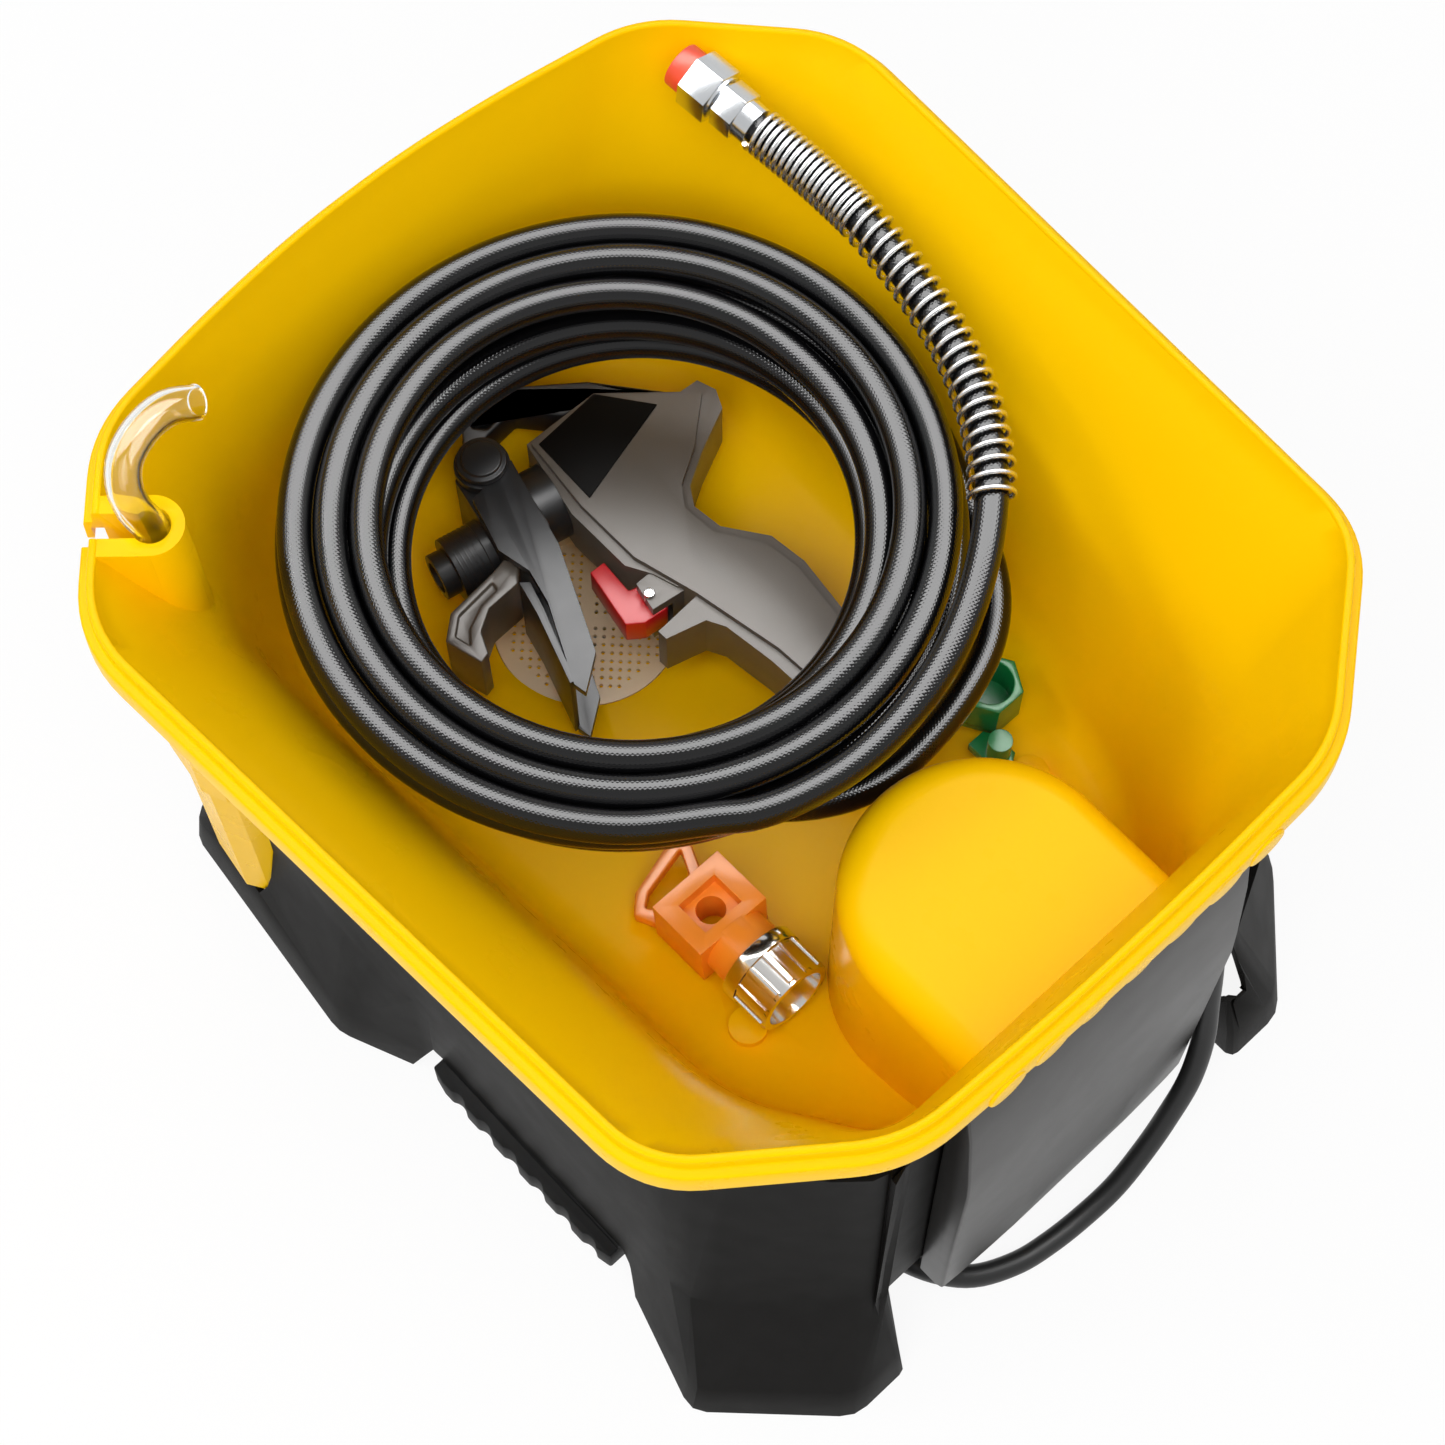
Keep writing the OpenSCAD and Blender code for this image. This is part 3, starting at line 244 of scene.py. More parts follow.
# %% [markdown]
# ## The power cord
#
# The cord is 9 mm thick and nearly 1.7 m long. It comes out of its strain relief at the rear, falls to the
# floor in one loose curve, and the rest of it is put away in a small coil under the base, with its
# plug beside the coil.

# %% Power cord
CORD_D = 0.009
cord_points = [(150, 90, 104), (154, 90, 104), (161, 88.5, 100.5), (167.5, 86, 93.5),
               (173.5, 81.5, 82), (179.5, 76, 68), (186.5, 69, 54), (192.5, 58, 40),
               (195.5, 45, 26), (197.5, 32, 16), (199, 16, 9), (198.5, 0, 5.5), (197, -16, 4.6),
               (194, -31, 4.6), (187, -46, 4.6), (177, -55.5, 4.6), (164, -62, 4.6),
               (148, -66, 4.6), (132, -68.2, 4.6), (116, -69.4, 4.6), (98, -69.6, 4.6),
               (80, -68.8, 4.6), (66, -68, 4.6)]
WIND_X, WIND_Y, WIND_Z, WIND_TURNS, WIND_OUT, WIND_IN = 66, -10, 4.6, 2.1, 58, 38


def cord_spiral(t, layer):
    """Two flat spirals, one above the other, in millimetres."""
    s = t / WIND_TURNS if layer == 0 else 1 - t / WIND_TURNS
    r = WIND_OUT - (WIND_OUT - WIND_IN) * s
    a = math.radians(270 - 360 * (t if layer == 0 else WIND_TURNS + t))
    return (WIND_X + r * math.cos(a), WIND_Y + r * math.sin(a), WIND_Z + 10 * layer)


cord_wind = [cord_spiral(WIND_TURNS * i / 50, 0) for i in range(1, 45)]
for i in range(-5, 6):
    place = (WIND_TURNS * (1 + i / 50), 0) if i < 0 else (WIND_TURNS * i / 50, 1)
    cord_wind.append((*cord_spiral(*place)[:2], WIND_Z + 5 + i))
cord_wind += [cord_spiral(WIND_TURNS * i / 50, 1) for i in range(6, 51)]
lead_points = [(7.6, -17, 14.6), (5.6, -6, 14.2), (5, 6, 13.5), (5.8, 18, 12.7),
               (7.6, 30, 12.1), (9.4, 41, 12), (10, 50, 12)]
cord_route = smooth_route([Vector(p) * MM for p in cord_points + cord_wind + lead_points], 0.003)
cord = swept_tube("power_cord_lead", cord_route, CORD_D / 2, 16)
print("power cord:", round(route_length(cord_route), 3), "m")

# %% [markdown]
# ## Shared surface effects
#
# Three effects are used by many finishes, so each is a node group that is built once: uneven colour
# and gloss, the fine grain of moulded plastic, and the fine scratches of metal. A group puts out only
# colours, values and normals; the shader itself stays in each material, where its gloss can be set.
# All of them read Object coordinates, which are metres here, so their scale is a real size.

# %% Node group helpers
def group(name, inputs, outputs):
    tree = bpy.data.node_groups.new(name, "ShaderNodeTree")
    kinds = {"colour": "NodeSocketColor", "value": "NodeSocketFloat", "vector": "NodeSocketVector"}
    for key, kind, default in inputs:
        sock = tree.interface.new_socket(name=key, in_out="INPUT", socket_type=kinds[kind])
        if default is not None:
            sock.default_value = default
    for key, kind in outputs:
        tree.interface.new_socket(name=key, in_out="OUTPUT", socket_type=kinds[kind])
    return tree, tree.nodes.new("NodeGroupInput"), tree.nodes.new("NodeGroupOutput")


def math_node(tree, operation, a, b):
    node = tree.nodes.new("ShaderNodeMath")
    node.operation = operation
    for sock, value in ((node.inputs[0], a), (node.inputs[1], b)):
        if isinstance(value, (int, float)):
            sock.default_value = value
        else:
            tree.links.new(value, sock)
    return node.outputs[0]


def object_noise(tree, scale, detail=3.0, stretch=None):
    place = tree.nodes.new("ShaderNodeTexCoord")
    noise = tree.nodes.new("ShaderNodeTexNoise")
    noise.inputs["Detail"].default_value = detail
    source = place.outputs["Object"]
    if stretch:
        turn = tree.nodes.new("ShaderNodeMapping")
        turn.inputs["Scale"].default_value = stretch
        tree.links.new(source, turn.inputs["Vector"])
        source = turn.outputs["Vector"]
    tree.links.new(source, noise.inputs["Vector"])
    if isinstance(scale, (int, float)):
        noise.inputs["Scale"].default_value = scale
    else:
        tree.links.new(scale, noise.inputs["Scale"])
    return noise.outputs["Fac"]


# %% Uneven colour and gloss
uneven, gin, gout = group("uneven_finish", [
    ("Color", "colour", (0.5, 0.5, 0.5, 1)), ("Colour spread", "value", 0.05),
    ("Roughness", "value", 0.4), ("Gloss spread", "value", 0.1), ("Scale", "value", 40.0)],
    [("Color", "colour"), ("Roughness", "value")])
cloud = object_noise(uneven, gin.outputs["Scale"], 4.0)
centred = math_node(uneven, "SUBTRACT", cloud, 0.5)
lift = math_node(uneven, "ADD", math_node(uneven, "MULTIPLY", centred, gin.outputs["Colour spread"]), 1.0)
tint = uneven.nodes.new("ShaderNodeVectorMath")
tint.operation = "SCALE"
uneven.links.new(gin.outputs["Color"], tint.inputs[0])
uneven.links.new(lift, tint.inputs["Scale"])
uneven.links.new(tint.outputs["Vector"], gout.inputs["Color"])
smear = object_noise(uneven, math_node(uneven, "MULTIPLY", gin.outputs["Scale"], 3.1), 5.0)
gloss = math_node(uneven, "MULTIPLY", math_node(uneven, "SUBTRACT", smear, 0.5), gin.outputs["Gloss spread"])
uneven.links.new(math_node(uneven, "ADD", gloss, gin.outputs["Roughness"]), gout.inputs["Roughness"])
print("group:", uneven.name)

# %% Moulded grain
grain, gin, gout = group("moulded_grain", [
    ("Scale", "value", 1500.0), ("Depth", "value", 0.00002)], [("Normal", "vector")])
bump = grain.nodes.new("ShaderNodeBump")
bump.inputs["Strength"].default_value = 1.0
grain.links.new(object_noise(grain, gin.outputs["Scale"], 2.0), bump.inputs["Height"])
grain.links.new(gin.outputs["Depth"], bump.inputs["Distance"])
grain.links.new(bump.outputs["Normal"], gout.inputs["Normal"])
print("group:", grain.name)

# %% Fine scratches on metal
scratch, gin, gout = group("fine_scratches", [
    ("Scale", "value", 600.0), ("Depth", "value", 0.00001), ("Roughness", "value", 0.2),
    ("Spread", "value", 0.1)], [("Roughness", "value"), ("Normal", "vector")])
lines = object_noise(scratch, gin.outputs["Scale"], 6.0, (1.0, 6.0, 0.4))
bump = scratch.nodes.new("ShaderNodeBump")
scratch.links.new(lines, bump.inputs["Height"])
scratch.links.new(gin.outputs["Depth"], bump.inputs["Distance"])
scratch.links.new(bump.outputs["Normal"], gout.inputs["Normal"])
spread = math_node(scratch, "MULTIPLY", math_node(scratch, "SUBTRACT", lines, 0.5), gin.outputs["Spread"])
scratch.links.new(math_node(scratch, "ADD", spread, gin.outputs["Roughness"]), gout.inputs["Roughness"])
print("group:", scratch.name)

# %% [markdown]
# ## The finishes
#
# Glossy polypropylene, matt glass-filled nylon, soft rubber, nickel, bright zinc and clear vinyl
# differ less in colour than in how they shine. A plastic takes its gloss from one roughness and a
# little grain; a metal has no grain but scratches, and its roughness decides how it mirrors.

# %% Plastics and metals
def use_group(material, tree, **values):
    node = material.node_tree.nodes.new("ShaderNodeGroup")
    node.node_tree = tree
    for key, value in values.items():
        node.inputs[key.replace("_", " ")].default_value = value
    return node


def plastic(name, colour, roughness, spread=0.06, gloss_spread=0.08, cloud_scale=30.0,
            grain_scale=2500.0, grain_depth=0.00001, shine=0.5):
    m = bpy.data.materials.new(name)
    m.use_nodes = True
    links, shader = m.node_tree.links, m.node_tree.nodes["Principled BSDF"]
    look = use_group(m, uneven, Color=(*colour, 1), Colour_spread=spread, Roughness=roughness,
                     Gloss_spread=gloss_spread, Scale=cloud_scale)
    skin = use_group(m, grain, Scale=grain_scale, Depth=grain_depth)
    links.new(look.outputs["Color"], shader.inputs["Base Color"])
    links.new(look.outputs["Roughness"], shader.inputs["Roughness"])
    links.new(skin.outputs["Normal"], shader.inputs["Normal"])
    shader.inputs["Specular IOR Level"].default_value = shine
    m.diffuse_color = (*colour, 1)
    return m


def metal(name, colour, roughness, spread=0.12, scale=500.0, depth=0.000006, cloud=0.04):
    m = bpy.data.materials.new(name)
    m.use_nodes = True
    links, shader = m.node_tree.links, m.node_tree.nodes["Principled BSDF"]
    look = use_group(m, uneven, Color=(*colour, 1), Colour_spread=cloud, Scale=120.0)
    skin = use_group(m, scratch, Scale=scale, Depth=depth, Roughness=roughness, Spread=spread)
    links.new(look.outputs["Color"], shader.inputs["Base Color"])
    links.new(skin.outputs["Roughness"], shader.inputs["Roughness"])
    links.new(skin.outputs["Normal"], shader.inputs["Normal"])
    shader.inputs["Metallic"].default_value = 1.0
    m.diffuse_color = (*colour, 1)
    return m


finish = {
    "yellow_gloss": plastic("yellow polypropylene", (1.0, 0.585, 0.0005), 0.28, 0.03, 0.06, 12.0,
                            900.0, 0.00001, 0.03),
    "ivory_nylon": plastic("ivory nylon", (0.86, 0.68, 0.44), 0.5),
    "black_matt": plastic("black textured housing", (0.0045, 0.004, 0.0035), 0.5, 0.2, 0.1, 25.0,
                          3200.0, 0.00004, 0.05),
    "black_satin": plastic("black satin panel", (0.012, 0.0105, 0.009), 0.36, 0.2, 0.06, 25.0,
                           3000.0, 0.00002, 0.2),
    "black_soft": plastic("black ribbed grip", (0.006, 0.006, 0.006), 0.6, 0.2, 0.1, 30.0,
                          3000.0, 0.00004, 0.15),
    "rubber": plastic("foot rubber", (0.012, 0.012, 0.012), 0.75, 0.3, 0.1, 60.0, 2000.0, 0.00003),
    "red": plastic("red acetal", (0.62, 0.01, 0.015), 0.3, 0.08, 0.08, 60.0),
    "black_gloss": plastic("black satin nylon", (0.014, 0.014, 0.015), 0.36, 0.2, 0.12, 50.0,
                           2600.0, 0.00002),
    "cap_red": plastic("orange red cap", (0.86, 0.08, 0.03), 0.35, 0.08, 0.08, 90.0),
    "gun_grey": plastic("dark grey nylon", (0.1, 0.084, 0.068), 0.36, 0.12, 0.1, 50.0, 2600.0, 0.00003),
    "orange": plastic("orange polypropylene", (0.98, 0.3, 0.02), 0.32, 0.05, 0.08, 50.0),
    "green": plastic("green acetal", (0.006, 0.19, 0.05), 0.25, 0.08, 0.08, 60.0),
    "nylon_gear": plastic("gear nylon", (0.8, 0.74, 0.58), 0.45),
    "zinc": metal("bright zinc plate", (0.72, 0.74, 0.76), 0.22),
    "steel": metal("bright steel", (0.7, 0.7, 0.7), 0.26),
    "cast_alloy": metal("die-cast alloy", (0.56, 0.57, 0.58), 0.45, 0.2, 300.0, 0.00002, 0.1),
    "brass": metal("turned brass", (0.72, 0.5, 0.2), 0.28),
    "nickel": metal("bright nickel", (0.83, 0.81, 0.78), 0.14, 0.08)}
print(len(finish), "finishes")

# %% [markdown]
# ## Clear vinyl and the hose's skin
#
# The clear tube is glass-like: full transmission, a low roughness and a faint tint. The hose has a
# black skin over a braid, and the braid shows through as a fine lattice that breaks up the highlights.
# It is drawn on the tube's own UV map, where both directions are metres.

# %% Clear vinyl
vinyl = bpy.data.materials.new("clear vinyl")
vinyl.use_nodes = True
shader = vinyl.node_tree.nodes["Principled BSDF"]
look = use_group(vinyl, uneven, Color=(0.96, 0.97, 0.96, 1), Colour_spread=0.02, Roughness=0.05,
                 Gloss_spread=0.03, Scale=80.0)
vinyl.node_tree.links.new(look.outputs["Color"], shader.inputs["Base Color"])
vinyl.node_tree.links.new(look.outputs["Roughness"], shader.inputs["Roughness"])
shader.inputs["Transmission Weight"].default_value = 1.0
shader.inputs["IOR"].default_value = 1.4
finish["clear_vinyl"] = vinyl

# %% Braided skin of the hose
braid, gin, gout = group("braid_under_skin", [
    ("Pitch", "value", 0.0016), ("Depth", "value", 0.00005)], [("Normal", "vector")])
uv = braid.nodes.new("ShaderNodeUVMap")
uv.uv_map = "run"
parts = braid.nodes.new("ShaderNodeSeparateXYZ")
braid.links.new(uv.outputs["UV"], parts.inputs[0])
BRAID_SLOPE = 1.107
per_metre = math_node(braid, "DIVIDE", 2 * math.pi, gin.outputs["Pitch"])
waves = []
for sign in ("ADD", "SUBTRACT"):
    slope = math_node(braid, "MULTIPLY", parts.outputs["Y"], BRAID_SLOPE)
    slant = math_node(braid, sign, parts.outputs["X"], slope)
    waves.append(math_node(braid, "SINE", math_node(braid, "MULTIPLY", slant, per_metre), 0.0))
lattice = math_node(braid, "MAXIMUM", waves[0], waves[1])
bump = braid.nodes.new("ShaderNodeBump")
braid.links.new(lattice, bump.inputs["Height"])
braid.links.new(gin.outputs["Depth"], bump.inputs["Distance"])
braid.links.new(bump.outputs["Normal"], gout.inputs["Normal"])
hose_skin = plastic("black hose skin", (0.003, 0.003, 0.0035), 0.05, 0.2, 0.02, 60.0, shine=0.5)
skin = use_group(hose_skin, braid, Pitch=0.0016, Depth=0.000025)
hose_skin.node_tree.links.new(skin.outputs["Normal"],
                              hose_skin.node_tree.nodes["Principled BSDF"].inputs["Normal"])
finish["hose_black"] = hose_skin
finish["cord_black"] = plastic("black cord sheath", (0.012, 0.012, 0.012), 0.42, 0.2, 0.1, 60.0,
                               1800.0, 0.00002)
print("hose skin ready")

# %% [markdown]
# ## Dressing the construction solids
#
# A construction solid has the right shape but knife edges, and a moulded or machined edge always
# catches a line of light. So each solid that shows is copied, its loose triangles are merged into
# whole faces, and a narrow bevel is run along its sharp edges. The original stays for collision.

# %% Dress a solid
def merged_copy(name):
    """The solid's triangles as one clean mesh of whole faces."""
    bm = bmesh.new()
    bm.from_mesh(nodes[name].data)
    bmesh.ops.remove_doubles(bm, verts=bm.verts, dist=2e-6)
    bmesh.ops.dissolve_degenerate(bm, edges=bm.edges, dist=1e-6)
    bmesh.ops.dissolve_limit(bm, verts=bm.verts, edges=bm.edges, angle_limit=math.radians(0.6))
    bmesh.ops.recalc_face_normals(bm, faces=bm.faces)
    bm.verts.index_update()
    verts, faces = [v.co.copy() for v in bm.verts], [[v.index for v in f.verts] for f in bm.faces]
    bm.free()
    return verts, faces


def settle(piece, sharp=38):
    """Applies a piece's modifiers and shades it smooth up to an angle."""
    graph = bpy.context.evaluated_depsgraph_get()
    mesh = bpy.data.meshes.new_from_object(piece.evaluated_get(graph))
    piece.modifiers.clear()
    piece.data = mesh
    mesh.shade_smooth()
    mesh.set_sharp_from_angle(angle=math.radians(sharp))
    return piece


def bevelled(piece, width, segments=2, angle=30, sharp=38):
    edge = piece.modifiers.new("edge", "BEVEL")
    edge.width, edge.segments, edge.limit_method = width, segments, "ANGLE"
    edge.angle_limit = math.radians(angle)
    edge.use_clamp_overlap = True
    edge.miter_outer = "MITER_ARC"
    return settle(piece, sharp)


def dress(name, slot, width=0.0004, segments=2, angle=30, material=None):
    verts, faces = merged_copy(name)
    piece = bevelled(new_piece(name + "_dressed", verts, faces), width, segments, angle)
    return keep_piece(piece, material or finish[slot], slot, body_of_node[name], name)


# %% [markdown]
# ## The hopper
#
# The hopper is one thin-walled moulding: a rolled rim with a hanging skirt, a steep upper wall, a
# rounded crease, a lower wall and a floor that funnels into the strainer's seat. Each level is the
# same outline with other corners, so the moulding is a loft: rings of equal count, stacked from the
# outside up, over the rim and down the inside. Both creases are rounded by a quadratic blend between
# the levels above and below, with more steps than the construction needs, so light runs along them.

# %% Outlines of the hopper
RIM_Z, SEAT_R, SUMP_X = 278.0, 36.0, -80.0
CREASE_D, FLOOR_D, WALL = 60.0, 148.0, 3.0
rim_half = [(-186.5, -22, 18), (-182.5, -62, 16), (-173.6, -116.7, 16), (-120.2, -165, 18),
            (127.2, -152.2, 16), (173.6, -92.4, 16), (176, -30, 20)]
crease_half = [(-172, -18, 14), (-170, -50, 12), (-163, -90, 16), (-125, -124, 20),
               (113, -114.7, 20), (160, -85, 16), (160, -25, 14)]
floor_half = [(-156, -15, 10), (-156, -45, 10), (-156, -75, 14), (-122, -102, 18),
              (100, -92, 20), (150, -58, 16), (150, -20, 10)]


def rounded_outline(half, n=9):
    """A closed outline: one half and its mirror, each corner rounded in n points."""
    corners = half + [(x, -y, t) for x, y, t in reversed(half)]
    ring = []
    for i, (x, y, t) in enumerate(corners):
        p = Vector((x, y))
        a = Vector(corners[i - 1][:2])
        b = Vector(corners[(i + 1) % len(corners)][:2])
        u, v = p + (a - p).normalized() * t, p + (b - p).normalized() * t
        ring += [u.lerp(p, k / (n - 1)).lerp(p.lerp(v, k / (n - 1)), k / (n - 1)) for k in range(n)]
    return ring


def mixed(a, b, t):
    return [p.lerp(q, t) for p, q in zip(a, b)]


def grown(ring, w):
    out = []
    for i, p in enumerate(ring):
        d = (ring[(i + 1) % len(ring)] - ring[i - 1]).normalized()
        out.append(p + Vector((d.y, -d.x)) * w)
    return out


def round_ring(ring, r):
    middle = Vector((SUMP_X, 0))
    return [middle + (p - middle).normalized() * r for p in ring]


def level(ring, z):
    return [Vector((p.x, p.y, z)) for p in ring]


rim_ring, crease_ring, floor_ring = (rounded_outline(h) for h in (rim_half, crease_half, floor_half))


def wall_ring(d):
    if d <= CREASE_D:
        return mixed(rim_ring, crease_ring, d / CREASE_D)
    return mixed(crease_ring, floor_ring, (d - CREASE_D) / (FLOOR_D - CREASE_D))


def depth_ring(d):
    return level(wall_ring(d), RIM_Z - d)


def funnel_ring(s):
    return level(mixed(floor_ring, round_ring(floor_ring, SEAT_R + 1.5), s), RIM_Z - FLOOR_D - 22 * s)


def eased(a, b, c, steps):
    """Rings from a to c that round the corner at b."""
    return [[p.lerp(q, s).lerp(q.lerp(r, s), s) for p, q, r in zip(a, b, c)]
            for s in (k / steps for k in range(steps + 1))]


def lofted(name, rings, closed=False, sharp=35):
    """A skin through rings of equal count, capped at both ends, or joined end to end."""
    n, m = len(rings[0]), len(rings)
    faces = [(k * n + i, (k + 1) % m * n + i, (k + 1) % m * n + (i + 1) % n, k * n + (i + 1) % n)
             for k in range(m if closed else m - 1) for i in range(n)]
    if not closed:
        faces += [tuple(range(n)), tuple((m - 1) * n + i for i in range(n - 1, -1, -1))]
    piece = new_piece(name, [v * MM for ring in rings for v in ring], faces, sharp)
    bm = bmesh.new()
    bm.from_mesh(piece.data)
    bmesh.ops.recalc_face_normals(bm, faces=bm.faces)
    bm.to_mesh(piece.data)
    bm.free()
    return piece


print("hopper rings hold", len(rim_ring), "points each")

# %% Loft the hopper
def rolled_edge(w0, z0, w1, z1, w2, z2, steps=5):
    """Rings round a corner of the flange, given as growth of the rim outline and height."""
    return eased(level(grown(rim_ring, w0), z0), level(grown(rim_ring, w1), z1),
                 level(grown(rim_ring, w2), z2), steps)


rings = [level(round_ring(floor_ring, SEAT_R + 4), RIM_Z - 178),
         level(mixed(floor_ring, round_ring(floor_ring, SEAT_R + 4), 0.08), RIM_Z - FLOOR_D - WALL),
         level(grown(wall_ring(FLOOR_D - 8), WALL), RIM_Z - FLOOR_D + 6)]
rings += [level(grown(wall_ring(d), WALL), RIM_Z - d) for d in (62, 54, 10)]
rings += [level(grown(rim_ring, 4.5), RIM_Z - 10), level(grown(rim_ring, 4.5), RIM_Z - 16.4)]
rings += rolled_edge(4.6, RIM_Z - 17, 5.5, RIM_Z - 17, 6.9, RIM_Z - 16.9, 2)
rings += rolled_edge(6.95, RIM_Z - 16.2, 6.8, RIM_Z - 11, 6.6, RIM_Z - 7.4, 2)
rings += rolled_edge(6.5, RIM_Z - 7, 6.4, RIM_Z - 6.1, 5.6, RIM_Z - 6, 3)
rings += rolled_edge(4.2, RIM_Z - 6, 3.2, RIM_Z - 6, 3.15, RIM_Z - 5, 4)
rings += rolled_edge(3.0, RIM_Z - 1.6, 3.0, RIM_Z, 1.6, RIM_Z, 5)
rings += rolled_edge(1.4, RIM_Z, 0, RIM_Z, 0, RIM_Z - 1.6, 5)
rings += [depth_ring(d) for d in (8, 24, 40)]
rings += eased(depth_ring(CREASE_D - 12), depth_ring(CREASE_D), depth_ring(CREASE_D + 14), 10)
rings += [depth_ring(d) for d in (90, 110)]
rings += eased(depth_ring(FLOOR_D - 14), depth_ring(FLOOR_D), funnel_ring(0.16), 10)
rings += [funnel_ring(s) for s in (0.3, 0.5, 0.7, 0.85, 1)]
hopper = lofted("hopper_moulding", rings)
print("hopper:", len(hopper.data.polygons), "faces from", len(rings), "rings")

# %% [markdown]
# ## Keyhole, motor dome and post
#
# A boss with a keyhole bore stands in the front corner for the clear tube. The dome over the motor is
# a block with a round nose that grows out of the rear wall. Bosses are joined to the moulding and the
# bore is cut by booleans, the way a mould maker would add and subtract steel.

# %% Solids to join and cut
def prism(name, outline, z0, z1):
    """A flat outline, in millimetres, raised between two heights."""
    n = len(outline)
    verts = [Vector((x, y, z)) * MM for z in (z0, z1) for x, y in outline]
    faces = [tuple(range(n - 1, -1, -1)), tuple(range(n, 2 * n))]
    faces += [(i, (i + 1) % n, n + (i + 1) % n, n + i) for i in range(n)]
    return new_piece(name, verts, faces)


def disc(x, y, r, n=64):
    return [(x + r * math.cos(2 * math.pi * k / n), y + r * math.sin(2 * math.pi * k / n)) for k in range(n)]


def turned(points, x, y, degrees):
    c, s = math.cos(math.radians(degrees)), math.sin(math.radians(degrees))
    return [(x + a * c - b * s, y + a * s + b * c) for a, b in points]


def boolean(piece, other, operation):
    step = piece.modifiers.new(operation, "BOOLEAN")
    step.operation, step.object, step.solver = operation, other, "EXACT"
    settle(piece)
    bpy.data.objects.remove(other)


KEY_X, KEY_Y = -135.0, -129.0
post_foot = [(-150, -136), (-136, -149), (-115, -152), (-107, -147), (-100, -134), (-104, -120),
             (-122, -112), (-146, -118)]
post_head = [(-152, -138), (-138, -151), (-116, -154), (-106, -150), (-100, -138), (-103, -108),
             (-124, -98), (-150, -84)]
post = prism("corner_post", post_head, 128, 251)
boolean(post, prism("foot", post_foot, 30, 130), "UNION")
for tilt, low_edge in ((11, -86), (24.5, -20)):
    wall_side = prism("wall_side", [(-198.5, -100), (1.5, -100), (1.5, 100), (-198.5, 100)],
                      low_edge, low_edge + 200)
    wall_side.data.transform(Matrix.Translation(Vector((-144, -107, RIM_Z - CREASE_D)) * MM)
                             @ Matrix.Rotation(math.radians(228), 4, "Z")
                             @ Matrix.Rotation(math.radians(tilt), 4, "Y"))
    boolean(post, wall_side, "DIFFERENCE")
post = bevelled(post, 0.002, 3, 20)
boolean(hopper, post, "UNION")
for x, y in ((-110, -70), (-110, 70), (84, -70), (84, 70)):
    boolean(hopper, prism("screw_post", disc(x, y, 7, 32), 47, 131), "UNION")
for shape, z0, z1 in [
        (disc(KEY_X, KEY_Y, 11), RIM_Z - 62, RIM_Z - 0.2),
        (turned([(0, -11), (17, -11), (17, 11), (0, 11)], KEY_X, KEY_Y, 228), RIM_Z - 40, RIM_Z - 0.3),
        (disc(SUMP_X, 0, 17), 84, RIM_Z - 176)]:
    boolean(hopper, prism("boss", shape, z0, z1), "UNION")
for shape, z0, z1 in [(disc(KEY_X, KEY_Y, 6.6), 104, 300),
                      ([(KEY_X - 13, KEY_Y - 7), (KEY_X + 9, KEY_Y - 7), (KEY_X + 9, KEY_Y + 23),
                        (KEY_X - 13, KEY_Y + 23)], 98, 127.8),
                      (turned([(0, -4.5), (40, -4.5), (40, 4.5), (0, 4.5)], KEY_X, KEY_Y, 228), 248, 300),
                      (disc(SUMP_X, 0, SEAT_R), RIM_Z - 172, RIM_Z - 160),
                      (disc(SUMP_X, 0, 11), 60, RIM_Z - 165)]:
    boolean(hopper, prism("cutter", shape, z0, z1), "DIFFERENCE")
print("hopper joined:", len(hopper.data.polygons), "faces")

# %% Round the rim's cut edges and keep the hopper
hopper = bevelled(hopper, 0.0006, 2, 40, 34)
keep_piece(hopper, finish["yellow_gloss"], "yellow_gloss", machine, "hopper")
print("hopper kept:", len(hopper.data.polygons), "faces")

# %% The motor dome
DOME_X, DOME_R, DOME_TOP = 122.0, 49.0, 218.0


def dome_rings(r, top, low, edge, steps=10):
    """Stacked outlines of a block with a round nose and a rolled top edge."""
    made = []
    for z, inset in [(low, 0), (low + 30, 0)] + [
            (top - edge + edge * math.sin(a), edge - edge * math.cos(a))
            for a in (math.pi / 2 * k / steps for k in range(steps + 1))]:
        q = r - inset
        nose = [(DOME_X - q * math.sin(b), q * math.cos(b)) for b in (math.pi * k / 40 for k in range(41))]
        back = [(DOME_X + 24, -q), (DOME_X + 43, -q), (DOME_X + 43, q), (DOME_X + 24, q)]
        made.append([Vector((x, y, z)) for x, y in nose + back])
    return made


dome = lofted("motor_dome", dome_rings(DOME_R, DOME_TOP, 122, 12), sharp=50)
bm = bmesh.new()
bm.from_mesh(dome.data)
wall_lean = math.radians(6.5)
cut_at, cut_way = Vector((161.5, 0, DOME_TOP)) * MM, Vector((math.cos(wall_lean), 0, -math.sin(wall_lean)))
bmesh.ops.bisect_plane(bm, geom=bm.verts[:] + bm.edges[:] + bm.faces[:], plane_co=cut_at,
                       plane_no=cut_way, clear_outer=True)
bmesh.ops.holes_fill(bm, edges=[e for e in bm.edges if e.is_boundary])
bmesh.ops.recalc_face_normals(bm, faces=bm.faces)
bm.to_mesh(dome.data)
bm.free()
dome.data.shade_smooth()
dome.data.set_sharp_from_angle(angle=math.radians(50))
keep_piece(dome, finish["yellow_gloss"], "yellow_gloss", machine)
print("dome:", len(dome.data.polygons), "faces")
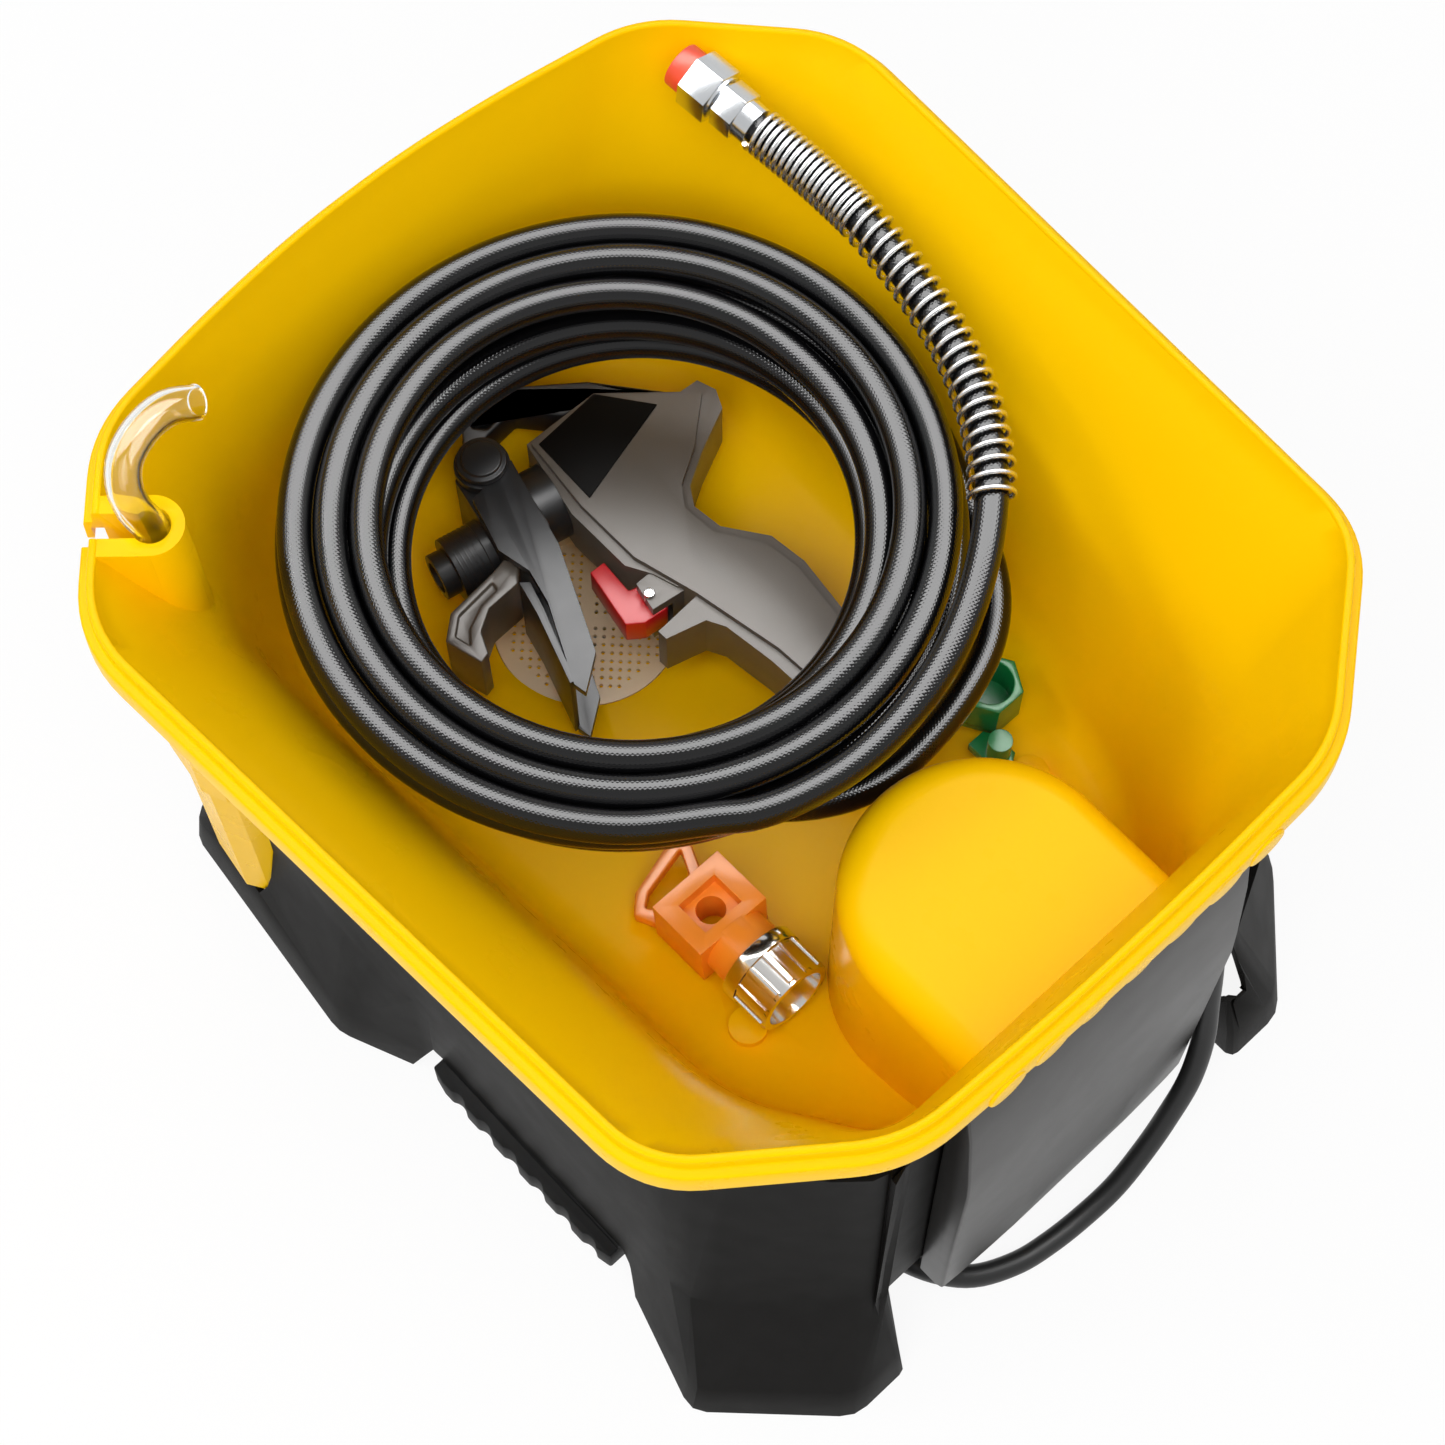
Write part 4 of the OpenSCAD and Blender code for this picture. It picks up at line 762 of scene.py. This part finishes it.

# %% [markdown]
# ## Finger lobes, by Geometry Nodes
#
# Seven rounded lobes hang under the rear rim as a grip for the fingers. They are one lobe repeated at
# an even pitch, which is what Geometry Nodes are for: a line of points, one lobe on each, made real.
# The count, start, pitch and finish are named inputs, so another hopper could take another row.

# %% A row of equal pieces
def row_tree(name, shape):
    """A tree that repeats one object along a line; its sizes are named inputs."""
    tree = bpy.data.node_groups.new(name, "GeometryNodeTree")
    tree.interface.new_socket(name="Geometry", in_out="OUTPUT", socket_type="NodeSocketGeometry")
    sockets = (("Count", "NodeSocketInt", 7), ("Start", "NodeSocketVector", (0, 0, 0)),
               ("Step", "NodeSocketVector", (0, 0.01, 0)), ("Finish", "NodeSocketMaterial", None))
    for key, kind, value in sockets:
        sock = tree.interface.new_socket(name=key, in_out="INPUT", socket_type=kind)
        if value is not None:
            sock.default_value = value
    gin, gout = tree.nodes.new("NodeGroupInput"), tree.nodes.new("NodeGroupOutput")
    line = tree.nodes.new("GeometryNodeMeshLine")
    line.mode = "OFFSET"
    source = tree.nodes.new("GeometryNodeObjectInfo")
    source.inputs["Object"].default_value = shape
    spread = tree.nodes.new("GeometryNodeInstanceOnPoints")
    real = tree.nodes.new("GeometryNodeRealizeInstances")
    paint = tree.nodes.new("GeometryNodeSetMaterial")
    tree.links.new(gin.outputs["Count"], line.inputs["Count"])
    tree.links.new(gin.outputs["Start"], line.inputs["Start Location"])
    tree.links.new(gin.outputs["Step"], line.inputs["Offset"])
    tree.links.new(line.outputs["Mesh"], spread.inputs["Points"])
    tree.links.new(source.outputs["Geometry"], spread.inputs["Instance"])
    tree.links.new(spread.outputs["Instances"], real.inputs["Geometry"])
    tree.links.new(real.outputs["Geometry"], paint.inputs["Geometry"])
    tree.links.new(gin.outputs["Finish"], paint.inputs["Material"])
    tree.links.new(paint.outputs["Geometry"], gout.inputs["Geometry"])
    return tree


def repeated(name, shape, count, start, step, slot, body, sharp=38):
    tree = row_tree(name + "_row", shape)
    piece = new_piece(name, [(0, 0, 0)], [])
    rule = piece.modifiers.new("row", "NODES")
    rule.node_group = tree
    ids = {s.name: s.identifier for s in tree.interface.items_tree if s.in_out == "INPUT"}
    rule[ids["Count"]] = count
    rule[ids["Start"]] = start
    rule[ids["Step"]] = step
    rule[ids["Finish"]] = finish[slot]
    settle(piece, sharp)
    shape.hide_render = shape.hide_viewport = True
    bpy.data.objects.remove(shape)
    print(name, ":", count, "copies,", len(piece.data.polygons), "faces")
    return keep_piece(piece, finish[slot], slot, body)


def rounded_bar(name, axis, length, r, soften, sides=40):
    """A short round bar about the origin with softened rims. axis is 0, 1 or 2."""
    rings = [(-length / 2, r - soften)]
    rings += [(-length / 2 + soften * (1 - math.cos(t)), r - soften * (1 - math.sin(t)))
              for t in (math.pi / 2 * k / 4 for k in range(1, 5))]
    rings += [(-x, q) for x, q in reversed(rings)]
    turn = {0: lambda a, b, c: (a, b, c), 1: lambda a, b, c: (c, a, b), 2: lambda a, b, c: (b, c, a)}[axis]
    verts = [turn(x, q * math.cos(2 * math.pi * k / sides), q * math.sin(2 * math.pi * k / sides))
             for x, q in rings for k in range(sides)]
    m = len(rings)
    faces = [(i * sides + k, (i + 1) * sides + k, (i + 1) * sides + (k + 1) % sides,
              i * sides + (k + 1) % sides) for i in range(m - 1) for k in range(sides)]
    faces += [tuple(range(sides)), tuple((m - 1) * sides + k for k in range(sides - 1, -1, -1))]
    piece = new_piece(name, verts, faces)
    bm = bmesh.new()
    bm.from_mesh(piece.data)
    bmesh.ops.recalc_face_normals(bm, faces=bm.faces)
    bm.to_mesh(piece.data)
    bm.free()
    return piece


LOBES, LOBE_PITCH, LOBE_R = 7, 0.019, 0.0078
repeated("finger_lobe_row", rounded_bar("lobe", 0, 0.0026, LOBE_R, 0.0009), LOBES,
         (0.1812, 0.058, (RIM_Z - 15.5) * MM), (0, -LOBE_PITCH, 0), "yellow_gloss", machine)

# %% [markdown]
# ## Hose, cord and their fittings
#
# The long pieces were swept first. Here they get their finishes and their bodies, the solids that they
# stand for are hidden, and their lengths are printed. The fittings are hexagons and collars of bright
# zinc, dressed from the solids.

# %% Keep the hose and its guard
fittings = [dress(n, s, w) for n, s, w in (
    ("hose_end_fitting", "zinc", 0.0004), ("hose_end_nut", "zinc", 0.0005),
    ("hose_end_cap", "cap_red", 0.0006), ("hose_start_fitting", "zinc", 0.0004),
    ("hose_start_nut", "zinc", 0.0005))]
keep_piece(guard, finish["steel"], "steel", machine, "spring_guard")
keep_piece(hose, finish["hose_black"], "hose_black", machine,
           "spray_hose_coil", "hose_lower_loop", "spray_hose_tail")
print("hose declared:", round(route_length(hose_route), 2), "m")

# %% Keep the cord, its plug and its tie
cord_pieces = [dress("plug_body", "black_soft", 0.0012, 3), dress("plug_blades", "nickel", 0.0003),
               dress("cord_tie", "black_soft", 0.0005), dress("cord_strain_relief", "black_soft", 0.0004)]
keep_piece(cord, finish["cord_black"], "black_soft", machine, "power_cord", "cord_coil", "cord_lead")
print("cord declared:", round(route_length(cord_route), 2), "m")

# %% [markdown]
# ## The clear return tube
#
# The tube climbs through the keyhole, stands over the rim and ends open above the paint. It is a
# hollow tube: an outer and an inner skin joined by two rings, or it would look like a glass rod.

# %% Return tube
return_points = [(-149, 44, 91), (-149, 44, 98), (-149, 39, 105), (-148.5, 28, 108),
                 (-147, 6, 108), (-145, -26, 108), (-142.5, -58, 108), (-139.5, -88, 108),
                 (-136.5, -110, 110), (-135, -123, 117), (-135, -129, 128), (-135, -129, 165),
                 (-135, -129, 210), (-135, -129, 250), (-135, -129, 274), (-135.8, -129.8, 281),
                 (-138.8, -131, 287.5), (-143.6, -129.5, 293), (-149, -124, 297),
                 (-153, -114, 298.5), (-154.5, -103, 297), (-153, -93, 291)]


def hollow_tube(name, points, r, bore, sides=32):
    route = smooth_route([Vector(p) * MM for p in points], 0.003)
    outer = swept_tube(name, route, r, sides)
    inner = swept_tube(name + "_bore", route, bore, sides)
    n = len(route)
    verts = [v.co.copy() for v in outer.data.vertices] + [v.co.copy() for v in inner.data.vertices]
    quads = [list(p.vertices) for p in outer.data.polygons if len(p.vertices) == 4]
    shift = n * sides
    quads += [[shift + v for v in reversed(q)] for q in quads[:(n - 1) * sides]]
    for base, flip in ((0, True), ((n - 1) * sides, False)):
        for k in range(sides):
            q = [base + k, base + (k + 1) % sides, shift + base + (k + 1) % sides, shift + base + k]
            quads.append(q[::-1] if flip else q)
    for old in (outer, inner):
        bpy.data.objects.remove(old)
    piece = new_piece(name, verts, quads, 60)
    bm = bmesh.new()
    bm.from_mesh(piece.data)
    bmesh.ops.recalc_face_normals(bm, faces=bm.faces)
    bm.to_mesh(piece.data)
    bm.free()
    return piece


tube = hollow_tube("return_tube_clear", return_points, 0.006, 0.0046)
keep_piece(tube, finish["clear_vinyl"], "clear_vinyl", machine, "return_tube")
print("return tube:", len(tube.data.polygons), "faces")

# %% [markdown]
# ## The rest of the solids
#
# Everything else keeps its solid's shape. Large mouldings get wider bevels than small ones, and
# turned metal the narrowest.

# %% Dress the base, the pump and the controls
for n, s, w, k in (
        ("base_shell", "black_matt", 0.0016, 3),
        ("side_grips", "black_soft", 0.0008, 2), ("bottom_plate", "black_matt", 0.0006, 2),
        ("rubber_feet", "rubber", 0.0008, 2), ("housing_screws", "zinc", 0.0003, 2),
        ("motor_can", "zinc", 0.0006, 2), ("motor_rotor", "steel", 0.0002, 1),
        ("gearbox", "cast_alloy", 0.0006, 2), ("drive_gear", "nylon_gear", 0.0002, 1),
        ("piston_yoke", "steel", 0.0005, 2), ("pump_body", "cast_alloy", 0.0008, 2),
        ("packing_nut", "brass", 0.0005, 2), ("inlet_valve", "zinc", 0.0004, 2),
        ("outlet_pipe", "zinc", 0.0003, 2), ("outlet_fitting", "zinc", 0.0004, 2),
        ("pressure_knob", "black_gloss", 0.0007, 2), ("control_valves", "cast_alloy", 0.0008, 2),
        ("prime_knob", "yellow_gloss", 0.0006, 2), ("push_prime_button", "red", 0.0006, 2),
        ("switch_frame", "black_matt", 0.0004, 2), ("power_switch", "black_gloss", 0.0005, 2)):
    dress(n, s, w, k)
dress("rear_panel", "black_matt", 0.003, 4, material=finish["black_satin"])
print("base dressed")

# %% Strainer
HOLE, PITCH, RIB = 0.8, 3.4, 2.6
holes = [(RIB + HOLE + PITCH * i, RIB + HOLE + PITCH * j) for i in range(9) for j in range(9)
         if math.hypot(RIB + HOLE + PITCH * i, RIB + HOLE + PITCH * j) < SEAT_R - 5]
strainer = prism("strainer_disc", disc(SUMP_X, 0, SEAT_R - 0.3, 96), RIM_Z - 172, RIM_Z - 170.4)
boolean(strainer, prism("lip", disc(SUMP_X, 0, SEAT_R - 0.3, 96), RIM_Z - 171, RIM_Z - 169.8), "UNION")
boolean(strainer, prism("dish", disc(SUMP_X, 0, SEAT_R - 3, 96), RIM_Z - 170.4, RIM_Z - 165), "DIFFERENCE")
verts, faces = [], []
for turn in range(4):
    for x, y in turned(turned(holes, 0, 0, 90 * turn + 45), SUMP_X, 0, 0):
        n = len(verts)
        verts += [Vector((a, b, z)) * MM for z in (RIM_Z - 175, RIM_Z - 165) for a, b in disc(x, y, HOLE, 8)]
        faces += [tuple(n + k for k in range(7, -1, -1)), tuple(n + 8 + k for k in range(8))]
        faces += [(n + k, n + (k + 1) % 8, n + 8 + (k + 1) % 8, n + 8 + k) for k in range(8)]
boolean(strainer, new_piece("hole_cutters", verts, faces), "DIFFERENCE")
keep_piece(strainer, finish["ivory_nylon"], "ivory_nylon", machine, "strainer")
print("strainer:", 4 * len(holes), "holes,", len(strainer.data.polygons), "faces")

# %% Dress the gun, the adapter and the tip
for n, s, w, k in (
        ("gun_body", "gun_grey", 0.0026, 5), ("gun_head", "black_gloss", 0.001, 3),
        ("gun_label_panel", "black_matt", 0.0003, 2), ("gun_hook", "black_gloss", 0.0012, 3),
        ("trigger", "black_gloss", 0.001, 3), ("trigger_pivot", "black_gloss", 0.0008, 3),
        ("trigger_guard", "gun_grey", 0.001, 3), ("trigger_lock", "red", 0.0008, 3),
        ("lock_pin", "steel", 0.0004, 2), ("gun_inlet", "zinc", 0.0004, 2),
        ("adapter_body", "orange", 0.0018, 4), ("adapter_ring", "orange", 0.0009, 3),
        ("adapter_nut", "nickel", 0.0003, 2), ("tip_holder", "green", 0.0007, 3),
        ("tip_strip", "green", 0.0009, 3), ("spray_tip", "green", 0.0006, 3)):
    dress(n, s, w, k)
print("gun dressed")

# %% [markdown]
# ## The thread on the gun's nose
#
# The tip guard screws on the nose. Its thread is a wire wound round the nose in the gun's own frame,
# half sunk, so that only its crests stand out and catch the light one by one.

# %% Nose thread
GUN_AT, GUN_TURN = Vector((-129.6, -1, 144.1)), math.radians(78.05)
NOSE_Y, NOSE_START, NOSE_END, NOSE_R = -21, -27.4, -17.6, 12.1
THREAD_PITCH, THREAD_WIRE = 1.9, 0.62


def gun_point(x, y, z):
    """A place in the stowed gun's frame, in metres of the scene."""
    c, s = math.cos(GUN_TURN), math.sin(GUN_TURN)
    return (GUN_AT + Vector((x * c - y * s, x * s + y * c, z))) * MM


PER_TURN = 32
thread_turns = (NOSE_END - NOSE_START) / THREAD_PITCH
crest = []
for k in range(round(thread_turns * PER_TURN) + 1):
    a = 2 * math.pi * k / PER_TURN
    x = NOSE_START + THREAD_PITCH * k / PER_TURN
    crest.append(gun_point(x, NOSE_Y + NOSE_R * math.cos(a), NOSE_R * math.sin(a)))
thread = swept_tube("nose_thread", crest, THREAD_WIRE * MM, 8)
keep_piece(thread, finish["black_gloss"], "black_gloss", body_of_node["gun_head"])
print("nose thread:", round(thread_turns, 1), "turns")

# %% [markdown]
# ## Floor and light
#
# The sprayer stands on a plain white floor under a pale sky. A long strip light is seen only in
# reflections, where it draws the pale lines on the hose, and a soft box overhead only lights, so the
# two can be set apart. The floor shows white to the camera and in reflections, and still takes the
# object's shadow, because only part of its brightness is its own.

# %% Floor
floor_skin = bpy.data.materials.new("white floor")
floor_skin.use_nodes = True
tree = floor_skin.node_tree
shader = tree.nodes["Principled BSDF"]
shader.inputs["Base Color"].default_value = (0.9, 0.9, 0.9, 1)
shader.inputs["Roughness"].default_value = 0.9
shader.inputs["Specular IOR Level"].default_value = 0.1
glow, blend_in, path = (tree.nodes.new(k) for k in (
    "ShaderNodeEmission", "ShaderNodeMixShader", "ShaderNodeLightPath"))
glow.inputs["Color"].default_value = (1, 1, 1, 1)
seen = math_node(tree, "ADD", path.outputs["Is Camera Ray"], path.outputs["Is Glossy Ray"])
seen = math_node(tree, "MINIMUM", math_node(tree, "ADD", seen, path.outputs["Is Transmission Ray"]), 1.0)
FLOOR_GLOW = 0.9
share = math_node(tree, "MULTIPLY", seen, FLOOR_GLOW)
tree.links.new(share, blend_in.inputs["Fac"])
tree.links.new(shader.outputs["BSDF"], blend_in.inputs[1])
tree.links.new(glow.outputs["Emission"], blend_in.inputs[2])
tree.links.new(blend_in.outputs["Shader"], tree.nodes["Material Output"].inputs["Surface"])
floor = new_piece("floor", [(-9, -9, 0), (9, -9, 0), (9, 9, 0), (-9, 9, 0)], [(0, 1, 2, 3)])
floor.location.z = -0.0002
floor.data.materials.append(floor_skin)

# %% Lamps and sky
def soft_box(name, lean, shift, size, radiance, distance=2.0, mirrored=True, lights=True):
    """A rectangle of light over the object, long side across the view, sized and shifted in metres.

    A box that isn't mirrored is left out of reflections, and one without lights is seen only there."""
    across = camera.rotation_quaternion @ Vector((1, 0, 0))
    rise = camera.rotation_quaternion @ Vector((0, 1, 0))
    back = camera.rotation_quaternion @ Vector((0, 0, 1))
    way = (back * math.cos(math.radians(lean)) + rise * math.sin(math.radians(lean))).normalized()
    lamp = bpy.data.lights.new(name, "AREA")
    lamp.shape, lamp.size, lamp.size_y = "RECTANGLE", size[0], size[1]
    lamp.energy = math.pi * size[0] * size[1] * radiance
    holder = bpy.data.objects.new(name, lamp)
    bpy.context.scene.collection.objects.link(holder)
    holder.rotation_mode = "QUATERNION"
    holder.rotation_quaternion = Matrix((across, way.cross(across), way)).transposed().to_quaternion()
    holder.location = aim + way * distance + across * shift
    holder.visible_glossy = mirrored
    holder.visible_diffuse = lights
    print(name, "at", [round(c, 2) for c in holder.location], round(lamp.energy), "W")


soft_box("long strip", 46, 0.25, (4.4, 1.7), 8.0, lights=False)
soft_box("side soft box", 30, -2.6, (0.9, 1.2), 6.0)
soft_box("overhead soft box", -4, -0.2, (1.8, 1.4), 3.4, mirrored=False)
sky = bpy.data.worlds.new("pale sky")
sky.use_nodes = True
sky.node_tree.nodes["Background"].inputs["Color"].default_value = (1, 1, 1, 1)
tree = sky.node_tree
ZENITH, HORIZON = 0.6, 0.72
look_up = tree.nodes.new("ShaderNodeSeparateXYZ")
tree.links.new(tree.nodes.new("ShaderNodeTexCoord").outputs["Generated"], look_up.inputs[0])
low_part = math_node(tree, "SUBTRACT", 1.0, math_node(tree, "MAXIMUM", look_up.outputs["Z"], 0.0))
band = math_node(tree, "MULTIPLY", math_node(tree, "POWER", low_part, 1.5), HORIZON - ZENITH)
tree.links.new(math_node(tree, "ADD", band, ZENITH), tree.nodes["Background"].inputs["Strength"])
bpy.context.scene.world = sky
bpy.context.scene.view_settings.view_transform = "Standard"
print("lit by", len(bpy.data.lights), "lamps")
